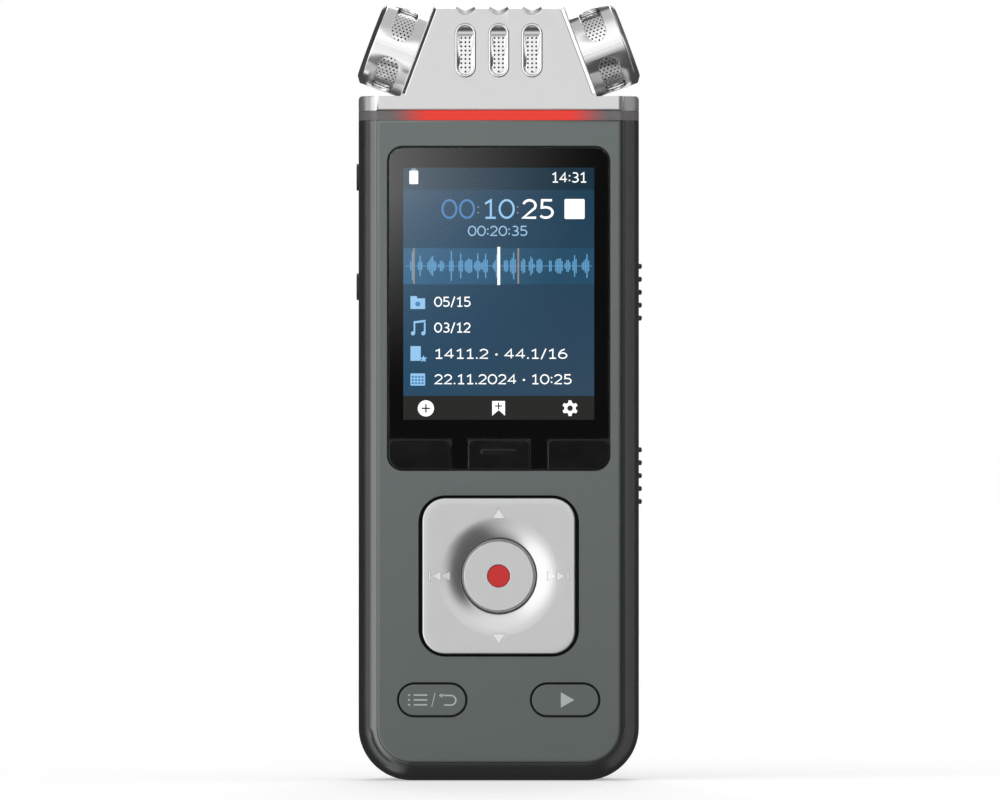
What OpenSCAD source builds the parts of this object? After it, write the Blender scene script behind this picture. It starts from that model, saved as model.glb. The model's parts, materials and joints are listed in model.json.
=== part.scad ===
// Handheld voice recorder: an assembly of separate pieces, in millimetres.
// X runs to the right across the face, Y from the face (-) to the back (+), Z up from the bottom end.
// The origin is the middle of the bottom end, where the recorder stands.

/* [Body] */
// Width of the case across its sides
body_w = 45; // [44.8:0.1:45.4]
// Depth of the case from the face to the back
body_d = 19; // [18.8:0.1:19.4]
// Height of the side frame, where the light bar starts
body_h = 105.9; // [105.8:0.1:106.4]
// Radius of the two lower corners, seen from the front
corner_r = 8.5; // [8.4:0.1:8.8]
// Wall thickness of the side frame and rear cover
wall = 1.4; // [1.2:0.1:1.4]
// Distance from the face's middle plane to the seam with the rear cover
seam_y = 3.5; // [3.3:0.1:3.7]
// Width of the bevelled band round the front plate
band_w = 2.95; // [2.8:0.05:3.05]
// Angle between the band's flat bevel and the face
bevel_angle = 40; // [36:1:42]
// Radius that blends the bevel into the side
edge_r = 3.8; // [3.6:0.1:3.8]
// Radius of the back's long edges
rear_r = 4.5; // [4.2:0.1:4.6]

/* [Face] */
// Thickness of the front plate
plate_t = 0.8; // [0.7:0.05:0.8]
// Seam between the front plate and the frame
plate_gap = 0.05; // [0.04:0.01:0.08]
// Thickness of the inner frame behind the plate
inner_t = 1.5; // [1.4:0.05:1.5]

/* [Display] */
// Width of the glossy display window
window_w = 35.8; // [35.6:0.1:36]
// Height of the glossy display window
window_h = 52.1; // [52:0.1:52.2]
// Height of the window's middle above the bottom end
window_z = 75.75; // [75.7:0.05:75.8]
// Corner radius of the window
window_r = 2.5; // [2.3:0.1:2.7]
// Gap between the window's pane and its opening
window_gap = 0.25; // [0.2:0.05:0.3]
// Width of the lit screen
screen_w = 30.6; // [30:0.1:30.8]
// Height of the lit screen
screen_h = 40.4; // [40:0.1:40.6]
// Height of the screen's middle above the bottom end
screen_z = 78.1; // [78:0.05:78.2]

/* [Keys] */
// Travel of every push key
key_travel = 0.25; // [0.15:0.05:0.25]
// Height of the three soft keys under the screen
soft_h = 4.9; // [4.7:0.1:5]
// Width of one soft key
soft_w = 9.8; // [9.6:0.1:9.9]
// Distance from the middle to an outer soft key's middle
soft_pitch = 12.75; // [12.7:0.05:12.8]
// Width of the navigation pad
pad_w = 24.5; // [24.2:0.1:24.8]
// Height of the navigation pad
pad_h = 25; // [24.6:0.1:25.1]
// Corner radius of the navigation pad
pad_r = 3.7; // [3.5:0.1:3.9]
// Height of the navigation pad's middle above the bottom end
pad_z = 32.85; // [32.7:0.05:33]
// Tilt of the navigation pad to each side, in degrees
pad_tilt = 1.2; // [1:0.1:1.2]
// Diameter of the record button
record_d = 11.2; // [11:0.1:11.3]
// Width of the menu and play buttons
pill_w = 10.7; // [10.5:0.1:10.8]
// Height of the menu and play buttons
pill_h = 5; // [4.8:0.1:5.1]
// Distance from the middle to a menu or play button's middle
pill_x = 10.65; // [10.5:0.05:10.8]
// Height of the menu and play buttons above the bottom end
pill_z = 13; // [12.9:0.05:13.1]

/* [Crown] */
// Thickness of the light bar under the crown
bar_t = 1.5; // [1.4:0.1:1.5]
// Height of the crown's shoulders above the bottom end
shoulder_z = 109.8; // [109.7:0.1:109.9]
// Height of the crown's top above the bottom end
crown_z = 124.4; // [124.3:0.1:124.5]
// Lean of the crown's sides from upright
crown_lean = 20.5; // [20:0.5:21]
// Half the crown block's width at the shoulders
crown_foot = 15.76; // [15.7:0.02:15.8]
// Spacing of the three front sound slots
slot_pitch = 5.34; // [5.3:0.02:5.4]
// Width of a sound slot
slot_w = 3.3; // [3.2:0.05:3.35]
// Height of a sound slot
slot_h = 8.6; // [8.4:0.1:8.7]

/* [Microphone drums] */
// Outer diameter of a microphone drum
drum_d = 13.8; // [13.5:0.1:13.9]
// Width of a microphone drum along its axis
drum_w = 7.75; // [7.6:0.05:7.8]
// Height at which a drum's axis meets the crown's side
drum_seat_z = 116.12; // [116:0.02:116.2]
// Arc of one drum slot, in degrees
drum_slot_arc = 70; // [66:1:72]
// Place of a drum slot, in degrees up or down from straight ahead
drum_slot_at = 47; // [46:1:48]

/* [Sockets and switches] */
// Bore of the headphone and microphone sockets
jack_bore = 3.6; // [3.55:0.01:3.65]
// Outer diameter of the socket collars
jack_collar = 4.3; // [4.2:0.1:4.4]
// Height of the upper side socket
jack_upper_z = 96.9; // [96.6:0.1:97]
// Height of the lower side socket
jack_lower_z = 79.3; // [79.2:0.1:79.5]
// Travel of a side slider to each side of its middle
slider_travel = 2; // [1.6:0.1:2]
// Height of the hold slider's middle
hold_z = 78.4; // [78.2:0.1:78.6]
// Height of the mode slider's middle
mode_z = 48.9; // [48.7:0.1:49]
// Ridges on one slider
slider_ridges = 5; // [4:1:5]
// Major diameter of the tripod thread
tripod_d = 6.4; // [6.38:0.01:6.42]
// Height of the tripod thread above the bottom end
tripod_z = 43; // [42.9:0.1:43.1]

/* [Hidden] */
$fn = 64;
eps = 0.01;

front_y = -body_d / 2;
back_y = body_d / 2;
half_w = body_w / 2;
corner_x = half_w - corner_r;

// The case section, as a distance out from the corner centre line (r) against depth (y)
plate_edge = corner_r - band_w;
arc_in = corner_r - edge_r * (1 - sin(bevel_angle));
arc_front = front_y + (arc_in - plate_edge) * tan(bevel_angle);
arc_y = arc_front + edge_r * cos(bevel_angle);

plate_back = front_y + plate_t;
ledge_in = plate_edge - 1.25;
ledge_back = plate_back + 1.4;
inner_back = plate_back + inner_t;

window_front = front_y + 0.05;
mask_t = 0.1;
window_back = plate_back - mask_t;
fit_gap = 0.1;

board_front = -4.6;
board_back = -3.6;
sheet_t = 0.1;
dome_h = 0.3;
dome_top = board_front - sheet_t - dome_h;
key_tip = dome_top - key_travel - 0.1;
flange_t = 0.6;

dish_r = 9.7;
dish_deep = 0.8;
record_hole_r = 5.94;
pad_front = -10;
pad_flange_front = inner_back + 0.55;
pad_flange_back = pad_flange_front + 0.6;
ring_front = pad_flange_back + 0.35;
ring_back = ring_front + 0.4;
nav_dome_r = 9.8;

bar_top = body_h + bar_t;
crown_in = wall;
side_y = -0.7;
jack_proud = 0.37;
slider_proud = 0.53;
lcd_z = 78;
slot_z = 117.1;
drum_chamfer = 0.72;
drum_wall = 0.5;
capsule_at = 1.7;
screw_at = [[-13.5, 5.9], [13.5, 5.9], [-15.5, 102.8], [15.5, 102.8]];
speaker_z = 25;
speaker_r = 10;

SILVER = [0.82, 0.82, 0.82];
PAINT = [0.39, 0.41, 0.40];
DARK = [0.15, 0.17, 0.18];
BLACK = [0.03, 0.03, 0.035];

// ---- Shared shapes ----

// Points along an arc round (cx, cy), from angle a0 to a1
function arc_points(cx, cy, r, a0, a1, steps = 9) =
    [for (i = [0:steps]) let (a = a0 + (a1 - a0) * i / steps) [cx + r * cos(a), cy + r * sin(a)]];

// The front band's outline in (r, y), from the plate's edge round to the side
function band_points() = concat(
    [[plate_edge, front_y]],
    arc_points(corner_r - edge_r, arc_y, edge_r, bevel_angle - 90, 0));

// The rear edge's outline in (r, y), from the side round to the flat back
function rear_points() = arc_points(corner_r - rear_r, back_y - rear_r, rear_r, 0, 90);

// Half of the case's plan in (x, y)
function half_plan() = [for (p = concat(band_points(), rear_points())) [corner_x + p[0], p[1]]];

// The case's full plan in (x, y), as the light bar and the crown share it
module case_plan() {
    right = half_plan();
    last = len(right) - 1;
    polygon(concat(right, [for (i = [last:-1:0]) [-right[i][0], right[i][1]]]));
}

// Sweeps a section in (r, y) down one side, round the bottom end and up the other side
module wrap(top) {
    for (side = [0, 1])
        mirror([side, 0, 0])
            translate([corner_x, 0, corner_r]) {
                linear_extrude(top - corner_r) children();
                rotate([-90, 0, 0]) rotate_extrude(angle = 90) children();
            }
    translate([-corner_x, 0, corner_r])
        rotate([0, 90, 0]) linear_extrude(2 * corner_x) children();
}

// Extrudes an outline in (x, z) from depth y0 back to depth y1
module slab(y0, y1) {
    translate([0, y1, 0]) rotate([90, 0, 0]) linear_extrude(y1 - y0) children();
}

// A box given by its lowest corner and its highest corner
module box(low, high) {
    translate(low) cube(high - low);
}

// A round bar along Y
module rod_y(x, z, r, y0, y1) {
    translate([x, y1, z]) rotate([90, 0, 0]) cylinder(h = y1 - y0, r = r);
}

// A round bar along X
module rod_x(y, z, r, x0, x1) {
    translate([x0, y, z]) rotate([0, 90, 0]) cylinder(h = x1 - x0, r = r);
}

// A rounded rectangle round the origin
module rounded(w, h, r) {
    square([w - 2 * r, h], center = true);
    square([w, h - 2 * r], center = true);
    for (sx = [-1, 1], sy = [-1, 1])
        translate([sx * (w / 2 - r), sy * (h / 2 - r)]) circle(r);
}

// A round-ended bar round the origin, lying along x
module stadium(w, h) {
    square([w - h, h], center = true);
    for (s = [-1, 1]) translate([s * (w - h) / 2, 0]) circle(h / 2);
}

// The case's face outline in (x, z), at a distance r out from the corner centres
module case_outline(r, top) {
    translate([-corner_x - r, corner_r]) square([2 * (corner_x + r), top - corner_r]);
    translate([-corner_x, corner_r - r]) square([2 * corner_x, r + 1]);
    for (s = [-1, 1]) translate([s * corner_x, corner_r]) circle(r);
}

// ---- Case ----

module side_frame() {
    outer = band_points();
    color(DARK) difference() {
        wrap(body_h)
            polygon(concat(outer, [
                [corner_r, seam_y], [corner_r - wall, seam_y],
                [corner_r - wall, ledge_back + 1.7], [corner_r - wall - 1.2, ledge_back],
                [ledge_in, ledge_back], [ledge_in, plate_back], [plate_edge, plate_back]]));
        for (z = [jack_upper_z, jack_lower_z])
            rod_x(side_y, z, jack_collar / 2 + 0.1, -half_w - 1, -half_w + wall + 1);
        for (z = [hold_z, mode_z])
            translate([half_w - wall - 1, side_y, z])
                rotate([0, 90, 0]) linear_extrude(wall + 2) stadium(2 * slider_slot(), 3.8);
        box([-half_w - 1, board_back + 0.1, 53.4], [-half_w + wall + 1, board_back + 1.5, 65.6]);
        translate([0, board_back + 1.65, -1]) linear_extrude(wall + 2) stadium(9.4, 3.6);
    }
}

// Half the length of a slider's slot
function slider_slot() = slider_travel + 5.2;

module front_plate() {
    r = plate_edge - plate_gap;
    color(PAINT) slab(front_y, plate_back) difference() {
        case_outline(r, body_h);
        window_shape(0);
        translate([0, pad_z]) rounded(pad_w + 1.2, pad_h + 0.8, pad_r + 0.6);
        for (s = [-1, 1]) translate([s * pill_x, pill_z]) stadium(pill_w + 0.6, pill_h + 0.6);
    }
}

module rear_cover() {
    lip = corner_r - wall - 0.1;
    color(DARK) difference() {
        union() {
            wrap(body_h)
                polygon(concat(rear_points(), [
                    [0, back_y], [0, back_y - wall], [corner_r - rear_r, back_y - wall],
                    [corner_r - wall - 0.9, back_y - wall - 0.9], [lip - 0.9, seam_y - 1.1],
                    [lip, seam_y - 1.1], [lip, seam_y], [corner_r, seam_y]]));
            box([-corner_x, back_y - wall, corner_r], [corner_x, back_y, body_h]);
            for (p = screw_at) rod_y(p[0], p[1], 2.2, 1.6, back_y - wall + eps);
            rod_y(0, tripod_z, 6.4, back_y - 4.5, back_y - eps);
        }
        for (p = screw_at) {
            rod_y(p[0], p[1], 0.95, 1, back_y);
            rod_y(p[0], p[1], 1.85, back_y - 1.6, back_y + 1);
        }
        rod_y(0, tripod_z, 4.95, back_y - 5, back_y + 1);
        rear_grille_holes();
    }
}

// Sound holes over the loudspeaker: one in the middle, then rings of 6 and 12
module rear_grille_holes() {
    pitch = 2.6;
    for (ring = [0:2], i = [0:max(1, 6 * ring) - 1])
        let (a = i * 360 / max(1, 6 * ring))
            rod_y(ring * pitch * cos(a), speaker_z + ring * pitch * sin(a), 0.65,
                back_y - wall - 1, back_y + 1);
}

module inner_frame() {
    front_r = ledge_in - fit_gap;
    color(BLACK) difference() {
        union() {
            slab(plate_back, inner_back) case_outline(front_r, body_h - 0.2);
            slab(inner_back, inner_back + 1) difference() {
                case_outline(front_r + 1.5, body_h - 0.2);
                case_outline(front_r - 0.8, body_h + 1);
            }
            for (p = screw_at) rod_y(p[0], p[1], 1.7, inner_back - eps, 1.4);
        }
        slab(plate_back - 1, inner_back + 1) {
            translate([0, lcd_z]) square([33.9, 45.3], center = true);
            for (i = [-1:1])
                translate([i * soft_pitch, soft_z()]) square([6.4, 3.2], center = true);
            translate([0, pad_z]) rounded(pad_w + 1.5, pad_h + 1.1, pad_r + 0.75);
            for (s = [-1, 1]) translate([s * pill_x, pill_z]) stadium(pill_w + 0.4, pill_h + 0.4);
        }
        for (p = screw_at) rod_y(p[0], p[1], 0.87, -5.6, 2);
    }
}

module light_bar() {
    color([0.95, 0.2, 0.15, 0.8]) translate([0, 0, body_h]) linear_extrude(bar_t) difference() {
        case_plan();
        rounded(body_w - 6, body_d - 4.6, 3);
    }
}

module light_bar_leds() {
    y = front_y + 2.4;
    color("white") {
        for (i = [-1:1]) box([i * 9 - 1.6, y, body_h + 0.3], [i * 9 + 1.6, y + 0.7, bar_top - 0.3]);
        box([-15, y + 0.7, body_h + 0.1], [15, y + 0.9, bar_top - 0.1]);
    }
}

module tripod_insert() {
    color([0.78, 0.6, 0.3]) difference() {
        union() {
            rod_y(0, tripod_z, 4.9, back_y - 5.6, back_y - 0.1);
            rod_y(0, tripod_z, 5.8, back_y - 5.6, back_y - 4.6);
        }
        rod_y(0, tripod_z, tripod_d / 2, back_y - 5, back_y + 1);
    }
}

module case_screws() {
    color("silver") for (p = screw_at) difference() {
        union() {
            rod_y(p[0], p[1], 1.7, back_y - 1.5, back_y - 0.3);
            rod_y(p[0], p[1], 0.85, -5, back_y - 1.4);
        }
        for (a = [0, 90])
            translate([p[0], back_y - 0.3, p[1]]) rotate([0, a, 0]) cube([2, 1.2, 0.45], center = true);
    }
}

// ---- Crown ----

function crown_half(z) = crown_foot - (z - shoulder_z) * tan(crown_lean);

// The crown's outline in (x, z): shoulders and leaning sides
module crown_outline() {
    round_r = 0.6;
    top_r = 1;
    right = concat(
        [[half_w, bar_top]],
        arc_points(half_w - round_r, shoulder_z - round_r, round_r, 0, 90, 8),
        [[crown_foot, shoulder_z]],
        arc_points(crown_half(crown_z - top_r) - top_r, crown_z - top_r, top_r, crown_lean, 90, 6));
    last = len(right) - 1;
    polygon(concat(right, [for (i = [last:-1:0]) [-right[i][0], right[i][1]]]));
}

// The crown's outline in (y, z), bevelled along its top front edge and rounded behind
module crown_side() {
    bevel_h = 0.7;
    bevel_d = 1.2;
    top_back_r = 2.6;
    polygon(concat(
        [[front_y, bar_top], [back_y, bar_top]],
        arc_points(back_y - top_back_r, crown_z - top_back_r, top_back_r, 0, 90, 8),
        [[front_y + bevel_d, crown_z], [front_y, crown_z - bevel_h]]));
}

// Extrudes an outline in (y, z) across the case
module across(half) {
    translate([-half, 0, 0]) rotate([90, 0, 90]) linear_extrude(2 * half) children();
}

module crown_shell() {
    ceiling = shoulder_z - crown_in;
    inner_top = crown_z - crown_in - 0.2;
    color(SILVER) difference() {
        intersection() {
            translate([0, 0, bar_top]) linear_extrude(crown_z) case_plan();
            slab(front_y - 1, back_y + 1) crown_outline();
            across(body_w) crown_side();
        }
        difference() {
            union() {
                box([-19.6, front_y + crown_in, bar_top - 1], [19.6, back_y - crown_in, ceiling]);
                slab(front_y + crown_in, back_y - crown_in) polygon([
                    [-crown_half(ceiling) + 1.7, bar_top - 1], [crown_half(ceiling) - 1.7, bar_top - 1],
                    [crown_half(inner_top) - 1.5, inner_top], [-crown_half(inner_top) + 1.5, inner_top]]);
            }
            for (s = [-1, 1]) translate([s * 11.2, 4.6, ceiling - 0.05]) cylinder(h = 4, r = 1.8);
        }
        for (s = [-1, 1]) translate([s * 11.2, 4.6, bar_top]) cylinder(h = 4.4, r = 0.72);
        front_slots(front_y - 1, front_y + crown_in + 1);
        front_slots(back_y - crown_in - 1, back_y + 1);
        for (i = [-1:1]) translate([i * slot_pitch, 0, 0]) top_groove();
        both_drums() {
            translate([0, 0, -4]) cylinder(h = 5, r = 2.1);
            cylinder(h = drum_w + 2, r = drum_d / 2 + 0.1);
            for (y = [front_y, back_y]) translate([3, y, 0])
                rotate([45, 0, 0]) cube([18.6, 0.85, 0.85], center = true);
        }
    }
}

// A groove from front to back over the crown's top, with its ends bevelled
module top_groove() {
    r = 2.3;
    depth = 0.75;
    tip = 0.9;
    rod_y(0, crown_z - depth + r, r, front_y - 1, back_y + 1);
    for (back = [0, 1]) mirror([0, back, 0])
        translate([0, front_y, crown_z - depth - tip]) rotate([-45, 0, 0])
            translate([0, -r, -1]) cylinder(h = 4, r = r);
}

// The three upright sound slots through one wall of the crown
module front_slots(y0, y1) {
    slab(y0, y1) for (i = [-1:1])
        translate([i * slot_pitch, slot_z]) rotate(90) stadium(slot_h, slot_w);
}

// The metal cups that fill the sound slots, each with a rim and a flange inside the wall.
// The rims are raised in front, and flush behind so that the recorder lies flat.
module front_grilles() {
    rim_t = 0.3;
    rim_proud = 0.15;
    recess = 0.3;
    color([0.75, 0.75, 0.76]) for (side = [0, 1]) mirror([0, side, 0])
        for (i = [-1:1]) translate([i * slot_pitch, 0, slot_z]) {
            slab(front_y + recess, front_y + crown_in) grille_shape(-fit_gap);
            slab(front_y - rim_proud * (1 - side), front_y + crown_in) difference() {
                grille_shape(-fit_gap);
                grille_shape(-fit_gap - 2 * rim_t);
            }
            slab(front_y + crown_in, front_y + crown_in + 0.3) grille_shape(1);
        }
}

// A sound slot's outline, grown in width and height
module grille_shape(grow) {
    rotate(90) stadium(slot_h + grow, slot_w + grow);
}

module crown_carrier() {
    floor_z = bar_top + 0.1;
    color(BLACK) difference() {
        union() {
            box([-19.3, -7.8, floor_z], [19.3, 7.8, floor_z + 0.8]);
            box([-6, -3.4, floor_z + 0.7], [6, -2.2, 121]);
        }
        for (s = [-1, 1]) translate([s * 11.2, 4.6, floor_z - 1]) cylinder(h = 3, r = 0.95);
        box([-3.4, -4.5, floor_z - 1], [3.4, -3.4, floor_z + 2]);
        rod_y(0, slot_z, 1, -4, -2);
    }
}

module crown_screws() {
    color("silver") for (s = [-1, 1]) translate([s * 11.2, 4.6, bar_top - 1.1]) {
        cylinder(h = 1.2, r = 1.7);
        cylinder(h = 5, r = 0.7);
    }
}

// Puts a child at the left drum's seat, with +z out along its axis, +x upwards and -y to the front
module left_drum_place() {
    translate([-crown_half(drum_seat_z), 0, drum_seat_z]) rotate([0, crown_lean - 90, 0]) children();
}

module right_drum_place() {
    mirror([1, 0, 0]) left_drum_place() children();
}

module both_drums() {
    left_drum_place() children();
    right_drum_place() children();
}

// One slot through a drum's wall, its middle at an angle round the axis
module drum_slot(at) {
    r = slot_w / 2;
    mid_r = drum_d / 2 - 0.25;
    end = drum_slot_arc / 2 - asin(r / mid_r);
    translate([0, 0, (drum_w - drum_chamfer) / 2]) rotate(at) {
        rotate(-end) rotate_extrude(angle = 2 * end)
            translate([mid_r - 0.75, -r]) square([1.5, slot_w]);
        for (s = [-1, 1]) rotate(s * end)
            translate([mid_r - 0.9, 0, 0]) rotate([0, 90, 0]) cylinder(h = 1.8, r = r);
    }
}

module drum_shell() {
    r = drum_d / 2;
    w = drum_w;
    color(SILVER) difference() {
        union() {
            rotate_extrude() polygon([
                [0, 0], [r, 0], [r, w - drum_chamfer], [r - 1, w], [r - 1.5, w],
                [r - 1.5, w - 0.9], [r - drum_wall, w - 1.4], [r - drum_wall, 0.8], [0, 0.8]]);
            translate([0, 0, -2.4]) cylinder(h = 2.5, r = 2);
        }
        for (back = [0, 180], side = [-1, 1]) drum_slot(back - 90 + side * drum_slot_at);
        translate([0, 0, -3]) cylinder(h = 5, r = 1.2);
    }
}

module drum_mesh() {
    color([0.7, 0.7, 0.72]) translate([0, 0, 0.9]) difference() {
        cylinder(h = drum_w - 2.5, r = drum_d / 2 - 0.7);
        translate([0, 0, -1]) cylinder(h = drum_w, r = drum_d / 2 - 0.95);
    }
}

module drum_cap() {
    top = drum_w - 0.12;
    r = drum_d / 2 - 1.52;
    color(SILVER) rotate_extrude() polygon([
        [0, top - 0.75], [r, top - 0.75], [r, top], [3.4, top], [3.1, top - 0.3], [0, top - 0.3]]);
}

module capsule() {
    color([0.72, 0.72, 0.7]) difference() {
        cylinder(h = 3, r = 3);
        translate([0, 0, 2.8]) cylinder(h = 1, r = 1.2);
    }
}

module boot() {
    color(BLACK) difference() {
        translate([0, 0, -0.8]) cylinder(h = 2.8, r = 4);
        cylinder(h = 4, r = 3.03);
        translate([0, 0, -2]) cylinder(h = 3, r = 1.2);
    }
}

module center_capsule_place() {
    translate([0, -4.2, slot_z]) rotate([90, 0, 0]) children();
}

module left_mic_drum() { left_drum_place() drum_shell(); }
module right_mic_drum() { right_drum_place() drum_shell(); }
module left_drum_mesh() { left_drum_place() drum_mesh(); }
module right_drum_mesh() { right_drum_place() drum_mesh(); }
module left_drum_cap() { left_drum_place() drum_cap(); }
module right_drum_cap() { right_drum_place() drum_cap(); }
module left_mic_capsule() { left_drum_place() translate([0, 0, capsule_at]) capsule(); }
module right_mic_capsule() { right_drum_place() translate([0, 0, capsule_at]) capsule(); }
module center_mic_capsule() { center_capsule_place() capsule(); }

module mic_boots() {
    both_drums() translate([0, 0, capsule_at]) boot();
    center_capsule_place() boot();
}

// ---- Display ----

module window_shape(inset) {
    translate([0, window_z])
        rounded(window_w - 2 * inset, window_h - 2 * inset, window_r - inset);
}

function window_bottom() = window_z - window_h / 2;
function soft_z() = window_bottom() + 0.15 + soft_h / 2;
function soft_left(i) = i * soft_pitch - soft_w / 2;

// The notches that the soft keys stand in, open at the window's lower edge, with a gap round each key
module soft_notches(gap) {
    for (i = [-1:1]) {
        reach = i == 0 ? 0 : 3;
        low_x = soft_left(i) - gap - (i < 0 ? reach : 0);
        wide = soft_w + 2 * gap + reach;
        translate([low_x, window_bottom() - 1]) square([wide, soft_h + 1.15 + gap]);
    }
}

module display_window() {
    color([0.05, 0.06, 0.08, 0.5]) slab(window_front, window_back) difference() {
        window_shape(window_gap);
        soft_notches(fit_gap);
    }
}

module display_mask() {
    color(BLACK) slab(window_back, plate_back) difference() {
        window_shape(window_gap);
        soft_notches(2 * fit_gap);
        translate([0, screen_z]) square([screen_w, screen_h], center = true);
    }
}

module lcd_panel() {
    color([0.13, 0.3, 0.45]) slab(plate_back + 0.05, -6.75)
        translate([0, lcd_z]) square([32.9, 44.4], center = true);
}

module lcd_frame() {
    color("silver") difference() {
        slab(-8.4, -6.5) translate([0, lcd_z]) square([33.6, 45], center = true);
        slab(-9, -6.75) translate([0, lcd_z]) square([33, 44.5], center = true);
    }
}

module lcd_flex() {
    t = 0.15;
    color([0.8, 0.5, 0.15]) {
        box([-5, -7, 55], [5, -7 + t, 55.5]);
        box([-5, -7, 55], [5, -6.2, 55 + t]);
        box([-5, -6.2 - t, 55], [5, -6.2, 63]);
    }
}

// ---- Keys ----

// The stem, flange and plunger behind a soft key's face, round the origin
module key_stem(y0) {
    slab(y0, inner_back + fit_gap) square([6, 2.8], center = true);
    slab(inner_back + fit_gap, inner_back + fit_gap + flange_t) square([7.4, 3.9], center = true);
    rod_y(0, 0, 1.3, inner_back + flange_t, key_tip);
}

module soft_key(i) {
    face = front_y - 0.15;
    seat = plate_back - key_travel - 0.05;
    color(BLACK) {
        slab(face, seat) intersection() {
            window_shape(window_gap);
            translate([i * soft_pitch, soft_z() - 1]) rounded(soft_w, soft_h + 2, 1);
        }
        if (i == 0) slab(face - 0.12, face + eps) translate([0, soft_z() + 0.45]) stadium(5.6, 0.6);
        translate([i * soft_pitch, 0, soft_z()]) key_stem(seat - eps);
    }
}

module soft_key_left() { soft_key(-1); }
module soft_key_center() { soft_key(0); }
module soft_key_right() { soft_key(1); }

module nav_pad() {
    color(SILVER) difference() {
        union() {
            translate([0, 0, pad_z]) slab(pad_front, pad_flange_front + eps)
                rounded(pad_w, pad_h, pad_r);
            translate([0, 0, pad_z]) slab(pad_flange_front, pad_flange_back)
                rounded(pad_w + 2.7, pad_h + 2.2, 4.5);
            for (a = [0:90:270])
                rod_y(nav_dome_r * cos(a), pad_z + nav_dome_r * sin(a), 1.2,
                    pad_flange_back - eps, dome_top - 0.3);
        }
        translate([0, 0, pad_z]) rotate([90, 0, 0]) rotate_extrude() polygon(concat(
            [[0, 12], [0, 4], [record_hole_r, 4]],
            [for (t = [0:0.125:1])
                [record_hole_r + (dish_r - record_hole_r) * t, -pad_front - dish_deep * (1 - t) ^ 1.65]],
            [[dish_r, 12]]));
    }
}

module nav_rocker_ring() {
    color([0.35, 0.35, 0.37]) difference() {
        rod_y(0, pad_z, 8.2, ring_front, ring_back);
        rod_y(0, pad_z, 6.5, ring_front - 1, ring_back + 1);
    }
}

module record_button() {
    face = -9.85;
    color([0.78, 0.78, 0.78]) difference() {
        union() {
            rod_y(0, pad_z, record_d / 2, face, -6.3);
            rod_y(0, pad_z, 4.5, -6.3 - eps, ring_front);
            rod_y(0, pad_z, 6.1, ring_front, ring_front + 0.25);
            rod_y(0, pad_z, 1.5, ring_front, key_tip);
        }
        rod_y(0, pad_z, 1.8, face - 1, face + 0.5);
    }
}

module record_dot() {
    color([0.85, 0.15, 0.12]) rod_y(0, pad_z, 1.76, -9.85, -9.35);
}

module pill_button(x) {
    color(PAINT) translate([x, 0, pill_z]) {
        slab(front_y - 0.2, inner_back + fit_gap + eps) stadium(pill_w, pill_h);
        slab(inner_back + fit_gap, inner_back + fit_gap + flange_t) stadium(pill_w + 1.5, pill_h + 1.5);
        rod_y(0, 0, 1.3, inner_back + flange_t, key_tip);
    }
}

module menu_button() { pill_button(-pill_x); }
module play_button() { pill_button(pill_x); }

// Places of all the snap domes in (x, z)
function dome_places() = concat(
    [for (i = [-1:1]) [i * soft_pitch, soft_z()]],
    [for (s = [-1, 1]) [s * pill_x, pill_z]],
    [[0, pad_z]],
    [for (a = [0:90:270]) [nav_dome_r * cos(a), pad_z + nav_dome_r * sin(a)]]);

module dome_sheet() {
    color([0.85, 0.85, 0.8]) slab(board_front - sheet_t, board_front)
        translate([0, 32]) rounded(35, 46, 2);
}

module snap_domes() {
    color("silver") for (p = dome_places())
        translate([p[0], board_front - sheet_t, p[1]])
            rotate([90, 0, 0]) cylinder(h = dome_h, r1 = 2, r2 = 1.2);
}

// ---- Electronics ----

module main_board() {
    color([0.05, 0.3, 0.16]) difference() {
        slab(board_front, board_back) case_outline(corner_r - wall - 0.6, body_h - 1.3);
        for (p = screw_at) rod_y(p[0], p[1], 1.9, -6, 0);
    }
}

module board_shield() {
    color("silver") difference() {
        box([-4, board_back, 66], [12, board_back + 1.8, 90]);
        box([-3.8, board_back - 1, 66.2], [11.8, board_back + 1.6, 89.8]);
    }
}

module board_chips() {
    color([0.1, 0.1, 0.1]) {
        box([-2, board_back, 68], [6, board_back + 1, 76]);
        box([-1, board_back, 79], [9, board_back + 1, 87]);
        box([-6, board_back, 52], [4, board_back + 1, 60]);
        box([-14, board_back, 30], [-9, board_back + 1, 35]);
        box([7, board_back, 28], [12, board_back + 1.4, 33]);
        box([7.5, board_back, 44.5], [12.5, board_back + 2, 47.5]);
    }
    color([0.85, 0.8, 0.7]) box([-6, -5.6, 60.5], [6, board_front, 62.5]);
}

module battery() {
    color([0.55, 0.57, 0.6]) translate([0, 0, 74]) slab(2.3, back_y - wall - 0.2)
        rounded(33, 48, 1.5);
}

module battery_tape() {
    color([0.9, 0.9, 0.85]) for (s = [-1, 1])
        box([s * 8 - 3, back_y - wall - 0.2, 54], [s * 8 + 3, back_y - wall, 94]);
}

module battery_lead() {
    r = 0.5;
    color("red") for (x = [9.3, 10.9]) translate([x, 5, 0]) {
        translate([0, 0, 48.5]) cylinder(h = 1.5, r = r);
        translate([0, -1.5, 48.5]) rotate([90, 0, 90]) rotate_extrude(angle = -90)
            translate([1.5, 0]) circle(r);
        translate([0, -1.5, 47]) rotate([90, 0, 0]) cylinder(h = 2.9, r = r);
    }
}

module loudspeaker() {
    color([0.2, 0.2, 0.2]) difference() {
        union() {
            rod_y(0, speaker_z, speaker_r, 4.9, back_y - wall - 0.5);
            rod_y(0, speaker_z, 6.5, 3.4, 5);
        }
        translate([0, back_y - wall + 0.4, speaker_z]) rotate([90, 0, 0])
            cylinder(h = 1.8, r1 = 8.4, r2 = 5.5);
    }
}

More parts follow.
